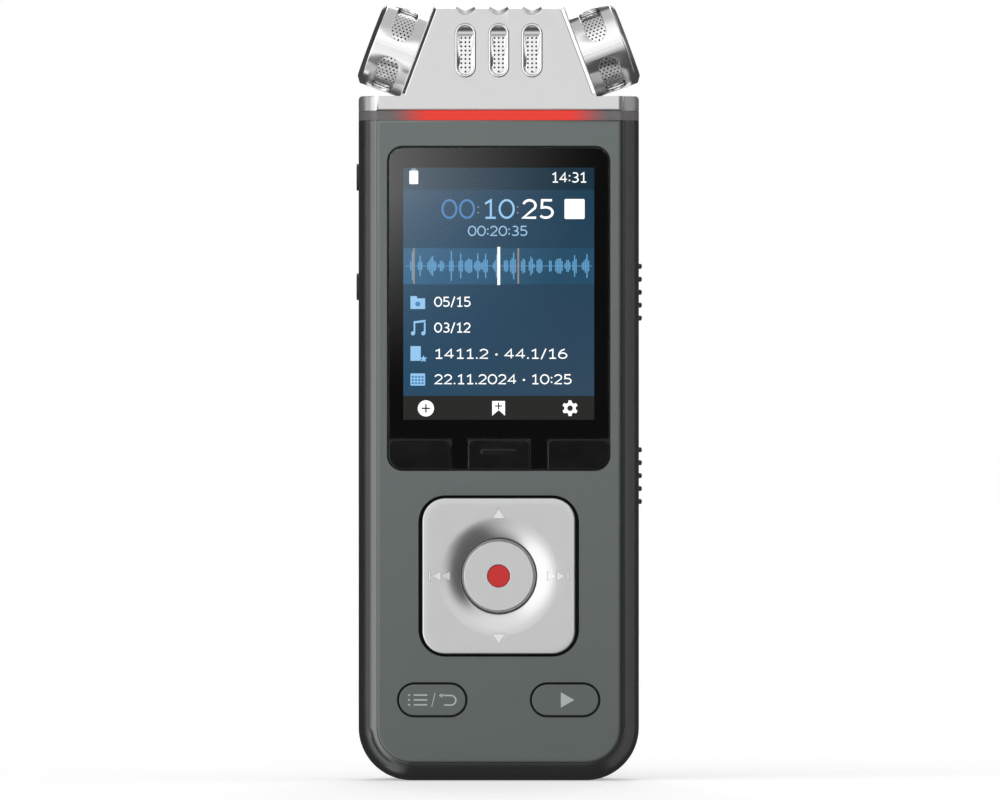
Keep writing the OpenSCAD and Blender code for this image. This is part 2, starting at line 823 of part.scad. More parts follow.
module speaker_gasket() {
    color(BLACK) slab(back_y - wall - 0.5, back_y - wall - 0.15) translate([0, speaker_z]) difference() {
        circle(speaker_r);
        circle(speaker_r - 1.5);
    }
}

module speaker_cloth() {
    color([0.1, 0.1, 0.1]) rod_y(0, speaker_z, speaker_r, back_y - wall - 0.15, back_y - wall);
}

module jack(z) {
    color(BLACK) difference() {
        union() {
            box([-half_w + wall + 0.1, board_back, z - 2.9], [-7.5, board_back + 5.8, z + 2.9]);
            rod_x(side_y, z, jack_collar / 2, -half_w - jack_proud, -half_w + wall + 0.2);
        }
        rod_x(side_y, z, jack_bore / 2, -half_w - 1, -half_w - jack_proud + 14);
    }
}

module headphone_jack() { jack(jack_upper_z); }
module microphone_jack() { jack(jack_lower_z); }

module usb_port() {
    y = board_back + 1.65;
    color("silver") translate([0, y, 0.3]) {
        difference() {
            linear_extrude(7.6) stadium(8.9, 3.25);
            translate([0, 0, -1]) linear_extrude(7.8) stadium(8.4, 2.75);
        }
        translate([-3.3, -0.35, 1]) cube([6.6, 0.7, 6]);
    }
}

module card_socket() {
    color("silver") difference() {
        box([-half_w + wall + 0.2, board_back, 52], [-7, board_back + 1.7, 67]);
        box([-half_w, board_back + 0.25, 53.5], [-8, board_back + 1.35, 65.5]);
    }
}

module slider(z) {
    pitch = 2.08;
    neck = slider_slot() - slider_travel - 0.3;
    inner_x = half_w - wall - 0.2;
    color(DARK) translate([0, side_y, z]) {
        translate([inner_x - 0.1, 0, 0]) rotate([0, 90, 0])
            linear_extrude(half_w + 0.1 - inner_x) stadium(2 * neck, 3.4);
        for (i = [0:slider_ridges - 1])
            translate([half_w, 0, (i - (slider_ridges - 1) / 2) * pitch])
                rotate([90, 0, 0]) linear_extrude(2.6, center = true)
                    translate([-0.1, 0]) intersection() {
                        circle(slider_proud + 0.1);
                        translate([0, -0.4]) square([1, 0.8]);
                    }
        box([inner_x - 1.1, -2.6, -neck - 1.5], [inner_x, 2.6, neck + 1.5]);
        box([17.5, -0.5, -0.6], [inner_x - 1, 0.5, 0.6]);
    }
}

module slide_switch(z) {
    color([0.6, 0.6, 0.62]) difference() {
        box([13.5, board_back, z - 4.6], [19.5, board_back + 4.4, z + 4.6]);
        box([17, side_y - 0.8, z - slider_travel - 0.9], [20, side_y + 0.8, z + slider_travel + 0.9]);
    }
}

module hold_slider() { slider(hold_z); }
module hold_switch() { slide_switch(hold_z); }
module mode_slider() { slider(mode_z); }
module mode_switch() { slide_switch(mode_z); }

module mic_flex() {
    color([0.8, 0.5, 0.15]) box([-3, board_back, 101], [3, board_back + 0.15, 111]);
}

side_frame();
front_plate();
rear_cover();
inner_frame();
light_bar();
light_bar_leds();
crown_shell();
crown_carrier();
front_grilles();
left_mic_drum();
right_mic_drum();
left_drum_mesh();
right_drum_mesh();
left_drum_cap();
right_drum_cap();
left_mic_capsule();
right_mic_capsule();
center_mic_capsule();
mic_boots();
display_window();
display_mask();
lcd_panel();
lcd_frame();
lcd_flex();
soft_key_left();
soft_key_center();
soft_key_right();
nav_pad();
nav_rocker_ring();
record_button();
record_dot();
menu_button();
play_button();
dome_sheet();
snap_domes();
main_board();
board_shield();
board_chips();
battery();
battery_tape();
battery_lead();
loudspeaker();
speaker_gasket();
speaker_cloth();
headphone_jack();
microphone_jack();
usb_port();
card_socket();
hold_slider();
hold_switch();
mode_slider();
mode_switch();
tripod_insert();
case_screws();
crown_screws();
mic_flex();
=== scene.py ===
"""Looks of the handheld voice recorder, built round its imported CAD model."""

import json
import math
import random

import bmesh
import bpy
from mathutils import Matrix, Vector
from mathutils.geometry import delaunay_2d_cdt

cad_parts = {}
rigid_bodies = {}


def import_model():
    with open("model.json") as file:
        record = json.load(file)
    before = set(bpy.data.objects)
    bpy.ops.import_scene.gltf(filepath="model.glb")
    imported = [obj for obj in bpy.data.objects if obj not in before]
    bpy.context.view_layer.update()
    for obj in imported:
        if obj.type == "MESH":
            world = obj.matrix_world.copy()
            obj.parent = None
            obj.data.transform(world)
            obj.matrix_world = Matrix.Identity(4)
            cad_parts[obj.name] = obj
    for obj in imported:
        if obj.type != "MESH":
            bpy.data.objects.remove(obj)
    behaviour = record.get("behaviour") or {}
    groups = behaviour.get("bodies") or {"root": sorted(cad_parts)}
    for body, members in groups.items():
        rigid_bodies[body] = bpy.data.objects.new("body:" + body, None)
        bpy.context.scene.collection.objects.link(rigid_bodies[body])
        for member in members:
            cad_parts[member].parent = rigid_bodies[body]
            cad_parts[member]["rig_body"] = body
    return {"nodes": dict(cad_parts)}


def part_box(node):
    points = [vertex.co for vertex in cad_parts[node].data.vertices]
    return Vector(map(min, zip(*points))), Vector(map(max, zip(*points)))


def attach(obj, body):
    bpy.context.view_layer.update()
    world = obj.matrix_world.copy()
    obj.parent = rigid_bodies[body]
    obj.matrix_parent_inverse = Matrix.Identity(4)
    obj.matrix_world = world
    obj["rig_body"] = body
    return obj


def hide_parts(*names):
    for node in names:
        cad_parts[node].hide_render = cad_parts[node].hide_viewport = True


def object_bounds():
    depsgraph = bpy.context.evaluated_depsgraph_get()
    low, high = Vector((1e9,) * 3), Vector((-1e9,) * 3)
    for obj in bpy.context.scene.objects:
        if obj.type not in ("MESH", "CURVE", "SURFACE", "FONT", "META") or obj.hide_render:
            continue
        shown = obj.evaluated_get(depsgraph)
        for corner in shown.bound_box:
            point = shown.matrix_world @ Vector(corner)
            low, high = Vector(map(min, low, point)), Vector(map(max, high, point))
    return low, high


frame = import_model()
cad_low, cad_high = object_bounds()
scene = bpy.context.scene

MM = 0.001


# ---- Shader nodes ----


def cleared(block):
    """The node tree of a material or world, emptied."""
    block.use_nodes = True
    block.node_tree.nodes.clear()
    return block.node_tree


def node(tree, kind, inputs=None, **attributes):
    """A shader node with its attributes and inputs set. An input is a value or another node's output."""
    made = tree.nodes.new("ShaderNode" + kind)
    for key, value in attributes.items():
        setattr(made, key, value)
    for key, value in (inputs or {}).items():
        if isinstance(value, bpy.types.NodeSocket):
            tree.links.new(value, made.inputs[key])
        else:
            made.inputs[key].default_value = value
    return made


def calc(tree, operation, *values):
    """One step of arithmetic on numbers or outputs."""
    return node(tree, "Math", dict(enumerate(values)), operation=operation).outputs[0]


def ramp(tree, value, a, b, low=0.0, high=1.0, smooth=False):
    """Maps value from a..b to low..high, and holds it there outside."""
    kind = "SMOOTHSTEP" if smooth else "LINEAR"
    names = ("Value", "From Min", "From Max", "To Min", "To Max")
    return node(
        tree, "MapRange", dict(zip(names, (value, a, b, low, high))), interpolation_type=kind
    ).outputs["Result"]


def blend_colour(tree, share, a, b):
    """A colour between a and b."""
    return node(tree, "Mix", {0: share, 6: a, 7: b}, data_type="RGBA").outputs[2]


def noise(tree, place, size_mm, detail=2.0):
    """Noise whose features are about size_mm across."""
    return node(
        tree, "TexNoise", {"Vector": place, "Scale": 1000 / size_mm, "Detail": detail}
    ).outputs["Fac"]


def rgb(code, gain=1.0):
    """A linear colour from a hex code as a screen shows it."""
    parts = [int(code[i : i + 2], 16) / 255 for i in (0, 2, 4)]
    linear = [p / 12.92 if p < 0.04045 else ((p + 0.055) / 1.055) ** 2.4 for p in parts]
    return tuple(gain * p for p in linear) + (1.0,)


def shaded(colour, factor):
    return tuple(min(1.0, c * factor) for c in colour[:3]) + (1.0,)


def surface(
    name, colour, rough, metallic=0.0, mottle=0.06, mottle_mm=3.0, swing=0.04, grain_mm=0.12,
    grain=0.15, stretch=(1, 1, 1), painted_light_fade=0.0, **sockets
):
    """A moulded, painted or metal finish: slightly uneven colour and gloss, and a fine grain.

    fade paints shading into the finish: lighter by that share at the top left and darker at the bottom
    right, as the studio light falls.
    """
    made = bpy.data.materials.new(name)
    tree = cleared(made)
    place = node(tree, "TexCoord").outputs["Object"]
    if stretch != (1, 1, 1):
        place = node(tree, "Mapping", {"Vector": place, "Scale": stretch}).outputs[0]
    cloud = ramp(tree, noise(tree, place, mottle_mm, 4), 0.3, 0.7)
    fine = noise(tree, place, grain_mm, 3)
    speck = ramp(tree, fine, 0.35, 0.65)
    tone = calc(tree, "ADD", calc(tree, "MULTIPLY", cloud, 0.5), calc(tree, "MULTIPLY", speck, 0.5))
    base = blend_colour(tree, tone, shaded(colour, 1 - mottle), shaded(colour, 1 + mottle))
    # painted shading: lighter towards the top left, darker towards the bottom right
    if painted_light_fade:
        x, _, z = node(tree, "SeparateXYZ", {0: place}).outputs
        slope = calc(tree, "MULTIPLY_ADD", x, -0.5, z)
        painted_light_fall = ramp(tree, slope, 0.0, 110 * MM, 1 - painted_light_fade, 1 + painted_light_fade)
        base = node(tree, "VectorMath", {0: base, 1: painted_light_fall}, operation="MULTIPLY").outputs[0]
    gloss = ramp(tree, cloud, 0, 1, rough - swing, rough + swing)
    bump = node(tree, "Bump", {"Strength": grain, "Distance": 0.02 * MM, "Height": fine})
    shader = node(
        tree,
        "BsdfPrincipled",
        {"Base Color": base, "Roughness": gloss, "Metallic": metallic, "Normal": bump.outputs[0]},
    )
    for key, value in sockets.items():
        shader.inputs[key.replace("_", " ")].default_value = value
    out = node(tree, "OutputMaterial", {"Surface": shader.outputs[0]})
    out.name = "Output"
    return made


def glass():
    """The clear display window."""
    made = bpy.data.materials.new("window_glass")
    tree = cleared(made)
    place = node(tree, "TexCoord").outputs["Object"]
    tint = blend_colour(tree, noise(tree, place, 9, 2), (0.94, 0.96, 0.97, 1), (0.98, 0.99, 1, 1))
    shader = node(
        tree,
        "BsdfPrincipled",
        {"Base Color": tint, "Roughness": 0.0, "Transmission Weight": 1.0, "IOR": 1.5},
    )
    node(tree, "OutputMaterial", {"Surface": shader.outputs[0]})
    return made


def pixel_grid(tree, place):
    """The faint grid between a display's pixels."""
    pitch = 0.1275 * MM
    parts = node(tree, "SeparateXYZ", {0: place}).outputs
    lines = [
        ramp(tree, calc(tree, "PINGPONG", calc(tree, "DIVIDE", parts[i], pitch), 0.5), 0, 0.12)
        for i in (0, 2)
    ]
    return ramp(tree, calc(tree, "MULTIPLY", *lines), 0, 1, 0.9, 1.0)


def lit(name, colour, strength=1.0, rough=0.4):
    """A lit mark on the display, made of its pixels."""
    made = bpy.data.materials.new(name)
    tree = cleared(made)
    place = node(tree, "TexCoord").outputs["Object"]
    grid = pixel_grid(tree, place)
    glow = blend_colour(tree, grid, shaded(colour, 0.6), colour)
    shader = node(
        tree,
        "BsdfPrincipled",
        {"Base Color": (0.01, 0.01, 0.01, 1), "Roughness": rough, "Emission Color": glow,
         "Emission Strength": strength, "Specular IOR Level": 0.1},
    )
    node(tree, "OutputMaterial", {"Surface": shader.outputs[0]})
    return made


# ---- Mesh pieces ----


def add_piece(name, mesh, body, material, nodes=(), crisp=35):
    """Links a mesh as a piece that rides on a body and stands for CAD nodes."""
    for m in material if isinstance(material, (list, tuple)) else [material]:
        mesh.materials.append(m)
    mesh.shade_smooth()
    mesh.set_sharp_from_angle(angle=math.radians(crisp))
    piece = bpy.data.objects.new(name, mesh)
    scene.collection.objects.link(piece)
    weighted = piece.modifiers.new("Normals", "WEIGHTED_NORMAL")
    weighted.keep_sharp = True
    weighted.weight = 90
    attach(piece, body)
    if nodes:
        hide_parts(*nodes)
    return piece


def mesh_from(name, shape):
    """A mesh made from a bmesh, which is freed."""
    bmesh.ops.recalc_face_normals(shape, faces=shape.faces)
    mesh = bpy.data.meshes.new(name)
    shape.to_mesh(mesh)
    shape.free()
    return mesh


def refine(
    cad, width, material, segments=2, crisp=28, first=None, wide=None, flatten=1.0, second=None,
    picks=None,
):
    """A copy of a CAD node with its edges rounded by width.

    first(shape) changes the mesh before that. wide is a width and a function that picks the edges
    which get it, and flatten squeezes those roundings towards the front. second is the material of
    the faces that picks(face) names.
    """
    source = frame["nodes"][cad]
    shape = bmesh.new()
    shape.from_mesh(source.data)
    bmesh.ops.remove_doubles(shape, verts=shape.verts, dist=2e-7)
    flat = math.radians(0.15)
    bmesh.ops.dissolve_limit(shape, angle_limit=flat, verts=shape.verts, edges=shape.edges)
    if first:
        first(shape)

    def sharp():
        return [
            e for e in shape.edges
            if len(e.link_faces) == 2 and e.calc_face_angle(0) > math.radians(crisp)
        ]

    def round_off(edges, offset, parts):
        return bmesh.ops.bevel(
            shape, geom=edges, offset=offset * MM, offset_type="OFFSET", segments=parts,
            profile=0.5, affect="EDGES", clamp_overlap=False,
        )

    rest = sharp()
    if wide:
        front = min(v.co.y for v in shape.verts)
        made = round_off(wide[1](rest), wide[0], 5)
        done = {v for f in made["faces"] for v in f.verts}
        for v in done:
            v.co.y = front + (v.co.y - front) * flatten
        rest = [e for e in sharp() if not any(v in done for v in e.verts)]
    round_off(rest, width, segments)
    bmesh.ops.recalc_face_normals(shape, faces=shape.faces)
    for face in shape.faces if picks else ():
        face.material_index = 1 if picks(face) else 0
    mesh = mesh_from(cad, shape)
    source.name = "cad_" + cad
    return add_piece(
        cad, mesh, source["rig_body"], [material] + ([second] if second else []), [cad]
    )


# where the case's front face and the back of its front bevel lie
CASE_FRONT = -9.5 * MM
BEVEL_BACK = -8.17 * MM


def outer_front_loop(edges):
    """Of the edges in the frontmost plane, the loop that goes round all the others."""
    front = min(v.co.y for e in edges for v in e.verts)
    left = {e for e in edges if all(v.co.y < front + 0.01 * MM for v in e.verts)}
    loops = []
    while left:
        grow = [left.pop()]
        loop = list(grow)
        while grow:
            edge = grow.pop()
            near = {f for v in edge.verts for f in v.link_edges} & left
            left -= near
            grow += near
            loop += near
        loops.append(loop)

    def spread(loop):
        xs = [v.co.x for e in loop for v in e.verts]
        zs = [v.co.z for e in loop for v in e.verts]
        return (max(xs) - min(xs)) * (max(zs) - min(zs))

    chosen = set(max(loops, key=spread))
    return [e for e in edges if e in chosen]


def bowed_bevel(shape):
    """Makes the case's flat front bevel slightly convex."""
    bow = 0.045 * MM
    faces = [f for f in shape.faces if -0.8 < f.normal.y < -0.73]
    for k in (1, 2, 3):
        share = k / 4
        depth = BEVEL_BACK + (CASE_FRONT - BEVEL_BACK) * share
        around = dict.fromkeys(g for f in faces if f.is_valid for g in (f, *f.edges, *f.verts))
        cut = bmesh.ops.bisect_plane(
            shape, geom=list(around), dist=1e-7, plane_co=(0, depth, 0), plane_no=(0, 1, 0)
        )
        for v in [g for g in cut["geom_cut"] if isinstance(g, bmesh.types.BMVert)]:
            ways = [f.normal for f in v.link_faces if -0.8 < f.normal.y < -0.73]
            if ways:
                way = sum(ways, Vector()).normalized()
                v.co += way * 4 * bow * share * (1 - share)
        faces = [f for f in shape.faces if -0.82 < f.normal.y < -0.715]


def case_edge(shape):
    """The bowed bevel, with its front edge sunk to meet the rounded rim of the front plate."""
    sink = 0.15 * MM
    bowed_bevel(shape)
    for v in shape.verts:
        if v.co.y < CASE_FRONT + 0.01 * MM:
            v.co.y += sink


def bevel_corners(edges):
    """The upright edges where the front bevel meets the front."""
    inner, outer = 19.2 * MM, 20 * MM
    return [
        e for e in edges
        if all(v.co.y < CASE_FRONT + 0.01 * MM and inner < abs(v.co.x) < outer for v in e.verts)
    ]


def side_wall(face):
    """Whether a face looks sideways, as the walls of a button do."""
    return abs(face.normal.y) < 0.25


def centre(cad):
    """The middle of a CAD node's box."""
    low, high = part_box(cad)
    return (low + high) / 2


def prism(shape, outline, back, front, place=None):
    """Adds a closed prism to a bmesh. outline is (x, z) points, back and front are depths in metres."""
    count = len(outline)
    place = place or (lambda x, y, z: (x, y, z))
    rear = [shape.verts.new(place(x, back, z)) for x, z in outline]
    fore = [shape.verts.new(place(x, front, z)) for x, z in outline]
    shape.faces.new(rear)
    shape.faces.new(fore[::-1])
    for i in range(count):
        j = (i + 1) % count
        shape.faces.new((rear[i], fore[i], fore[j], rear[j]))


def ring_points(x, z, r, steps=24, start=0.0, sweep=2 * math.pi):
    """Points on an arc, closed where the sweep is a whole turn."""
    last = steps if sweep < 6.28 else steps - 1
    return [
        (x + r * math.cos(start + sweep * i / steps), z + r * math.sin(start + sweep * i / steps))
        for i in range(last + 1)
    ]


def rounded_rect(x, z, w, h, r, steps=6):
    """A rounded rectangle round (x, z)."""
    points = []
    for k, (sx, sz) in enumerate(((1, 1), (-1, 1), (-1, -1), (1, -1))):
        cx, cz = x + sx * (w / 2 - r), z + sz * (h / 2 - r)
        points += ring_points(cx, cz, r, steps, k * math.pi / 2, math.pi / 2)
    return points


def bar(x0, z0, x1, z1, width):
    """A straight bar between two points."""
    along = Vector((x1 - x0, z1 - z0)).normalized() * width / 2
    nx, nz = -along.y, along.x
    return [(x0 - nx, z0 - nz), (x1 - nx, z1 - nz), (x1 + nx, z1 + nz), (x0 + nx, z0 + nz)]


def band(x, z, r, width, start, sweep, steps=16):
    """A strip of an arc, width wide."""
    outer = ring_points(x, z, r + width / 2, steps, start, sweep)
    inner = ring_points(x, z, r - width / 2, steps, start, sweep)
    return outer + inner[::-1]


def stroke(shape, points, width, back, front, closed=False):
    """Adds a line of even width along (x, z) points to a bmesh, as a closed solid between two depths."""
    points = [Vector(p) for p in points]
    count = len(points)
    rows = []
    for i, p in enumerate(points):
        ways = []
        if closed or i:
            ways.append((p - points[i - 1]).normalized())
        if closed or i < count - 1:
            ways.append((points[(i + 1) % count] - p).normalized())
        across = sum((Vector((-w.y, w.x)) for w in ways), Vector((0, 0))).normalized()
        across *= width / 2 / max(0.5, across.dot(Vector((-ways[0].y, ways[0].x))))
        left, right = p + across, p - across
        corners = ((left, front), (right, front), (right, back), (left, back))
        rows.append([shape.verts.new((q.x, y, q.y)) for q, y in corners])
    pairs = list(zip(rows, rows[1:]))
    if closed:
        pairs.append((rows[-1], rows[0]))
    for a, b in pairs:
        for k in range(4):
            m = (k + 1) % 4
            shape.faces.new((a[k], a[m], b[m], b[k]))
    if not closed:
        shape.faces.new(rows[0][::-1])
        shape.faces.new(rows[-1])


def arc(x, z, rx, rz, start, end, steps=14):
    """Points on an arc of an ellipse, with its bearings in degrees."""
    turns = [math.radians(start + (end - start) * k / steps) for k in range(steps + 1)]
    return [(x + rx * math.cos(a), z + rz * math.sin(a)) for a in turns]


# ---- Studio ----


def studio():
    """A soft white studio: white cards on the left, dark flags on the right and below, and the camera."""
    world = bpy.data.worlds.new("studio")
    scene.world = world
    tree = cleared(world)
    way = node(tree, "TexCoord").outputs["Generated"]
    x, y, z = node(tree, "SeparateXYZ", {0: way}).outputs
    ahead = calc(tree, "MULTIPLY", y, -1.0)
    turn = calc(tree, "MULTIPLY", calc(tree, "ARCTAN2", x, ahead), 180 / math.pi)
    rise = calc(tree, "MULTIPLY", calc(tree, "ARCSINE", z), 180 / math.pi)

    def zone(light, value, left, right, low, high, soft):
        """Sets the light between two bearings and two heights, in degrees."""
        share = 1.0
        for angle, a, b in ((turn, left, right), (rise, low, high)):
            if a > -179:
                share = calc(tree, "MULTIPLY", share, ramp(tree, angle, a - soft, a + soft, smooth=True))
            if b < 179:
                share = calc(
                    tree, "MULTIPLY", share, ramp(tree, angle, b + soft, b - soft, smooth=True)
                )
        return node(tree, "Mix", {0: share, 2: light, 3: value}, data_type="FLOAT").outputs[0]

    # the wall overhead, brighter towards the left and behind
    light = zone(1.0, 0.52, -180, 180, 36, 180, 12)
    light = zone(light, 1.0, -75, -12, 14, 60, 10)
    light = zone(light, 1.2, -22, 14, 16, 40, 7)
    light = zone(light, 1.2, -180, 180, 82, 180, 5)
    light = zone(light, 2.8, 160, 180, 28, 72, 10)
    light = zone(light, 2.8, -180, -160, 28, 72, 10)
    # the white cards on the left
    light = zone(light, 1.9, -78, -52, -14, 9, 7)
    light = zone(light, 1.4, -70, -50, 5, 55, 6)
    light = zone(light, 1.75, -54, -17, -30, 30, 8)
    # the dark flags on both sides, with lit gaps on the right
    light = zone(light, 0.05, -165, -86, -58, 58, 4)
    light = zone(light, 0.02, -106, -76, 14, 27, 3)
    light = zone(light, 0.07, 23, 78, -60, 24, 6)
    light = zone(light, 0.2, 82, 102, -60, 60, 5)
    light = zone(light, 0.1, 104, 165, -60, 40, 4)
    light = zone(light, 1.4, 82, 102, 16, 30, 4)
    light = zone(light, 1.5, 56, 112, 38, 50, 5)
    # the dark table edge in front, darker on the right, and the dark below and behind
    light = zone(light, 0.2, -34, 6, -64, -33, 9)
    light = zone(light, 0.08, 2, 64, -70, -8, 10)
    light = zone(light, 0.5, -80, -40, -74, -54, 7)
    light = zone(light, 0.06, -180, 180, -180, -76, 5)
    light = zone(light, 0.06, -40, 180, -180, -58, 6)
    light = zone(light, 0.06, 110, 180, -180, 4, 6)
    light = zone(light, 0.06, -180, -110, -180, 4, 6)
    # the hole the camera looks through, with a sheen towards its upper left
    port = zone(0.0, 1.0, -1.5, 1.5, -1.5, 1.5, 0.15)
    across = ramp(tree, turn, 0.47, -0.47)
    up = ramp(tree, rise, 0.0, 0.86)
    sheen = calc(
        tree, "MULTIPLY", calc(tree, "POWER", across, 1.8), calc(tree, "POWER", up, 2.0)
    )
    hole = calc(tree, "MULTIPLY_ADD", sheen, 2.9, 0.11)
    light = node(tree, "Mix", {0: port, 2: light, 3: hole}, data_type="FLOAT").outputs[0]
    plain = node(tree, "Background", {"Color": (1, 1, 1, 1), "Strength": 1.0})
    lamps = node(tree, "Background", {"Color": (1, 1, 1, 1), "Strength": light})
    seen = node(tree, "LightPath").outputs["Is Camera Ray"]
    mixed = node(tree, "MixShader", {0: seen, 1: lamps.outputs[0], 2: plain.outputs[0]})
    node(tree, "OutputWorld", {"Surface": mixed.outputs[0]})

    shape = bmesh.new()
    side = 6.0
    corners = [(-side, -side, 0), (side, -side, 0), (side, side, 0), (-side, side, 0)]
    shape.faces.new([shape.verts.new(c) for c in corners])
    mesh = bpy.data.meshes.new("floor")
    shape.to_mesh(mesh)
    shape.free()
    floor = bpy.data.objects.new("floor", mesh)
    scene.collection.objects.link(floor)
    pale = surface(
        "floor_paper", (0.86, 0.86, 0.86, 1), 0.9, mottle=0.01, mottle_mm=60, grain_mm=1.5,
        grain=0.02, Emission_Color=(1, 1, 1, 1), Emission_Strength=0.36,
    )
    mesh.materials.append(pale)
    floor.visible_glossy = False

    scene.view_settings.view_transform = "Standard"
    scene.view_settings.look = "None"

    lens = bpy.data.cameras.new("camera")
    lens.lens = 500
    lens.sensor_width = 36
    picture_w = 160.26 * MM
    away = picture_w / lens.sensor_width * lens.lens
    camera = bpy.data.objects.new("camera", lens)
    scene.collection.objects.link(camera)
    middle = (cad_low.z + cad_high.z) / 2 - 1.46 * MM
    camera.location = (0.2 * MM, -9.5 * MM - away, middle)
    camera.rotation_euler = (math.pi / 2, 0, 0)
    lens.clip_start, lens.clip_end = 0.05, 20
    scene.camera = camera


studio()

# ---- Finishes ----

STEEL = (0.6, 0.6, 0.61, 1)
finish = {
    "dark_metal_paint": surface(
        "dark_metal_paint", (0.15, 0.155, 0.153, 1), 0.26, 0.9, mottle=0.03, grain_mm=0.3, grain=0.005,
        swing=0.012
    ),
    # the front paint carries painted shading, lighter at the top left and darker at the bottom right
    "face_paint": surface(
        "face_paint", (0.14, 0.159, 0.155, 1), 0.42, 0.65, mottle=0.05, grain_mm=0.12, grain=0.12,
        painted_light_fade=0.13
    ),
    "dark_plastic": surface(
        "dark_plastic", (0.028, 0.03, 0.031, 1), 0.42, 0, mottle=0.12, grain_mm=0.25, grain=0.5
    ),
    "black_plastic": surface("black_plastic", (0.017, 0.0195, 0.0185, 1), 0.5, mottle=0.15),
    "satin_silver": surface(
        "satin_silver", (0.74, 0.74, 0.74, 1), 0.34, 0.9, mottle=0.015, grain_mm=0.1, grain=0.04
    ),
    "polished_silver": surface(
        "polished_silver", (0.92, 0.92, 0.92, 1), 0.17, 1.0, mottle=0.015, grain=0.02, swing=0.015
    ),
    "grille_metal": surface("grille_metal", (0.94, 0.94, 0.94, 1), 0.2, 1.0, mottle=0.02, grain=0.02),
    "capsule_metal": surface("capsule_metal", (0.62, 0.62, 0.6, 1), 0.35, 1.0),
    "black_rubber": surface("black_rubber", (0.02, 0.02, 0.02, 1), 0.75, mottle=0.15, grain=0.4),
    "window_glass": glass(),
    "steel": surface("steel", STEEL, 0.3, 1.0, stretch=(1, 1, 6)),
    "flex": surface("flex", (0.55, 0.25, 0.05, 1), 0.4, mottle=0.15),
    "key_gloss_black": surface(
        "key_gloss_black", (0.003, 0.003, 0.0035, 1), 0.05, mottle=0.2, grain=0.004, swing=0.01
    ),
    "pad_silver": surface(
        "pad_silver", (0.61, 0.615, 0.613, 1), 0.2, 0.9, mottle=0.01, grain_mm=0.2, grain=0.012, swing=0.015
    ),
    # grey silicone, darkened almost to black to paint the shade in the gap round the record button
    "grey_silicone": surface("grey_silicone", (0.03, 0.03, 0.032, 1), 0.6),
    "record_red": surface("record_red", rgb("c81212"), 0.4, mottle=0.06),
    # painted shade: this near-black goes on button side walls and on the pad's hole wall, side and flange,
    # to darken the gaps round them
    "gap_black": surface("gap_black", (0.01, 0.011, 0.011, 1), 0.6, mottle=0.2, grain=0.2),
    "film": surface("film", (0.6, 0.6, 0.55, 1), 0.4),
    "circuit_green": surface("circuit_green", (0.01, 0.09, 0.04, 1), 0.35, mottle=0.2, mottle_mm=1.5),
    "battery_foil": surface("battery_foil", (0.35, 0.36, 0.38, 1), 0.32, 0.7),
    "lead_red": surface("lead_red", (0.5, 0.02, 0.02, 1), 0.45),
    "black_cloth": surface(
        "black_cloth", (0.012, 0.012, 0.012, 1), 0.9, mottle=0.4, grain_mm=0.2, grain=0.8
    ),
    "brass": surface("brass", (0.62, 0.42, 0.16, 1), 0.25, 1.0, stretch=(1, 4, 1)),
    "led": surface("led", (0.8, 0.75, 0.7, 1), 0.4),
}


def light_guide():
    """The smoky light bar, lit red behind its middle."""
    made = bpy.data.materials.new("light_guide")
    tree = cleared(made)
    place = node(tree, "TexCoord").outputs["Object"]
    x, y, _ = node(tree, "SeparateXYZ", {0: place}).outputs
    out = calc(tree, "ABSOLUTE", x)
    cloud = noise(tree, place, 3, 3)
    smoke = blend_colour(tree, cloud, (0.10, 0.10, 0.10, 1), (0.15, 0.14, 0.14, 1))
    red = ramp(tree, out, 18.5 * MM, 11 * MM, smooth=True)
    glow = blend_colour(tree, red, rgb("b02a30"), rgb("ee2c18"))
    power = calc(tree, "MULTIPLY", red, ramp(tree, y, 0, -4 * MM))
    emitted = node(tree, "Mix", {0: power, 6: (0, 0, 0, 1), 7: glow}, data_type="RGBA").outputs[2]
    base = blend_colour(tree, red, smoke, (0.05, 0.005, 0.005, 1))
    shader = node(
        tree,
        "BsdfPrincipled",
        {"Base Color": base, "Roughness": ramp(tree, cloud, 0, 1, 0.18, 0.28),
         "Emission Color": emitted, "Emission Strength": 0.85},
    )
    node(tree, "OutputMaterial", {"Surface": shader.outputs[0]})
    return made


finish["light_guide"] = light_guide()


def screen_picture():
    """The display's blue picture: darker to the right, with a lit band and plain strips above and below."""
    made = bpy.data.materials.new("screen")
    tree = cleared(made)
    place = node(tree, "TexCoord").outputs["Object"]
    x, _, z = node(tree, "SeparateXYZ", {0: place}).outputs
    mid = centre("lcd_panel")
    cloud = noise(tree, place, 14, 2)
    across = ramp(tree, calc(tree, "ADD", x, calc(tree, "MULTIPLY", cloud, 8 * MM)), -10 * MM, 14 * MM)
    down = ramp(tree, z, mid.z + 20 * MM, mid.z - 16 * MM)
    upper = blend_colour(tree, across, rgb("1d4866"), rgb("123c54"))
    lower = blend_colour(tree, across, rgb("244a64"), rgb("2e475d"))
    field = blend_colour(tree, down, upper, lower)
    strip = blend_colour(tree, across, rgb("163b50"), rgb("0c2d3f"))
    band_up = ramp(tree, z, 94.72 * MM, 94.8 * MM)
    field = blend_colour(tree, band_up, field, strip)
    wave = calc(
        tree, "MULTIPLY", ramp(tree, z, 79.55 * MM, 79.65 * MM), ramp(tree, z, 85.45 * MM, 85.35 * MM)
    )
    field = blend_colour(tree, wave, field, blend_colour(tree, across, rgb("306488"), rgb("224c67")))
    foot = ramp(tree, z, 61.78 * MM, 61.7 * MM)
    field = blend_colour(tree, foot, field, rgb("252523"))
    grid = pixel_grid(tree, place)
    glow = blend_colour(tree, grid, (0, 0, 0, 1), field)
    shader = node(
        tree,
        "BsdfPrincipled",
        {"Base Color": (0.004, 0.004, 0.004, 1), "Roughness": 0.5, "Emission Color": glow,
         "Emission Strength": 1.03, "Specular IOR Level": 0.05},
    )
    node(tree, "OutputMaterial", {"Surface": shader.outputs[0]})
    return made


finish["screen"] = screen_picture()

# ---- Case ----

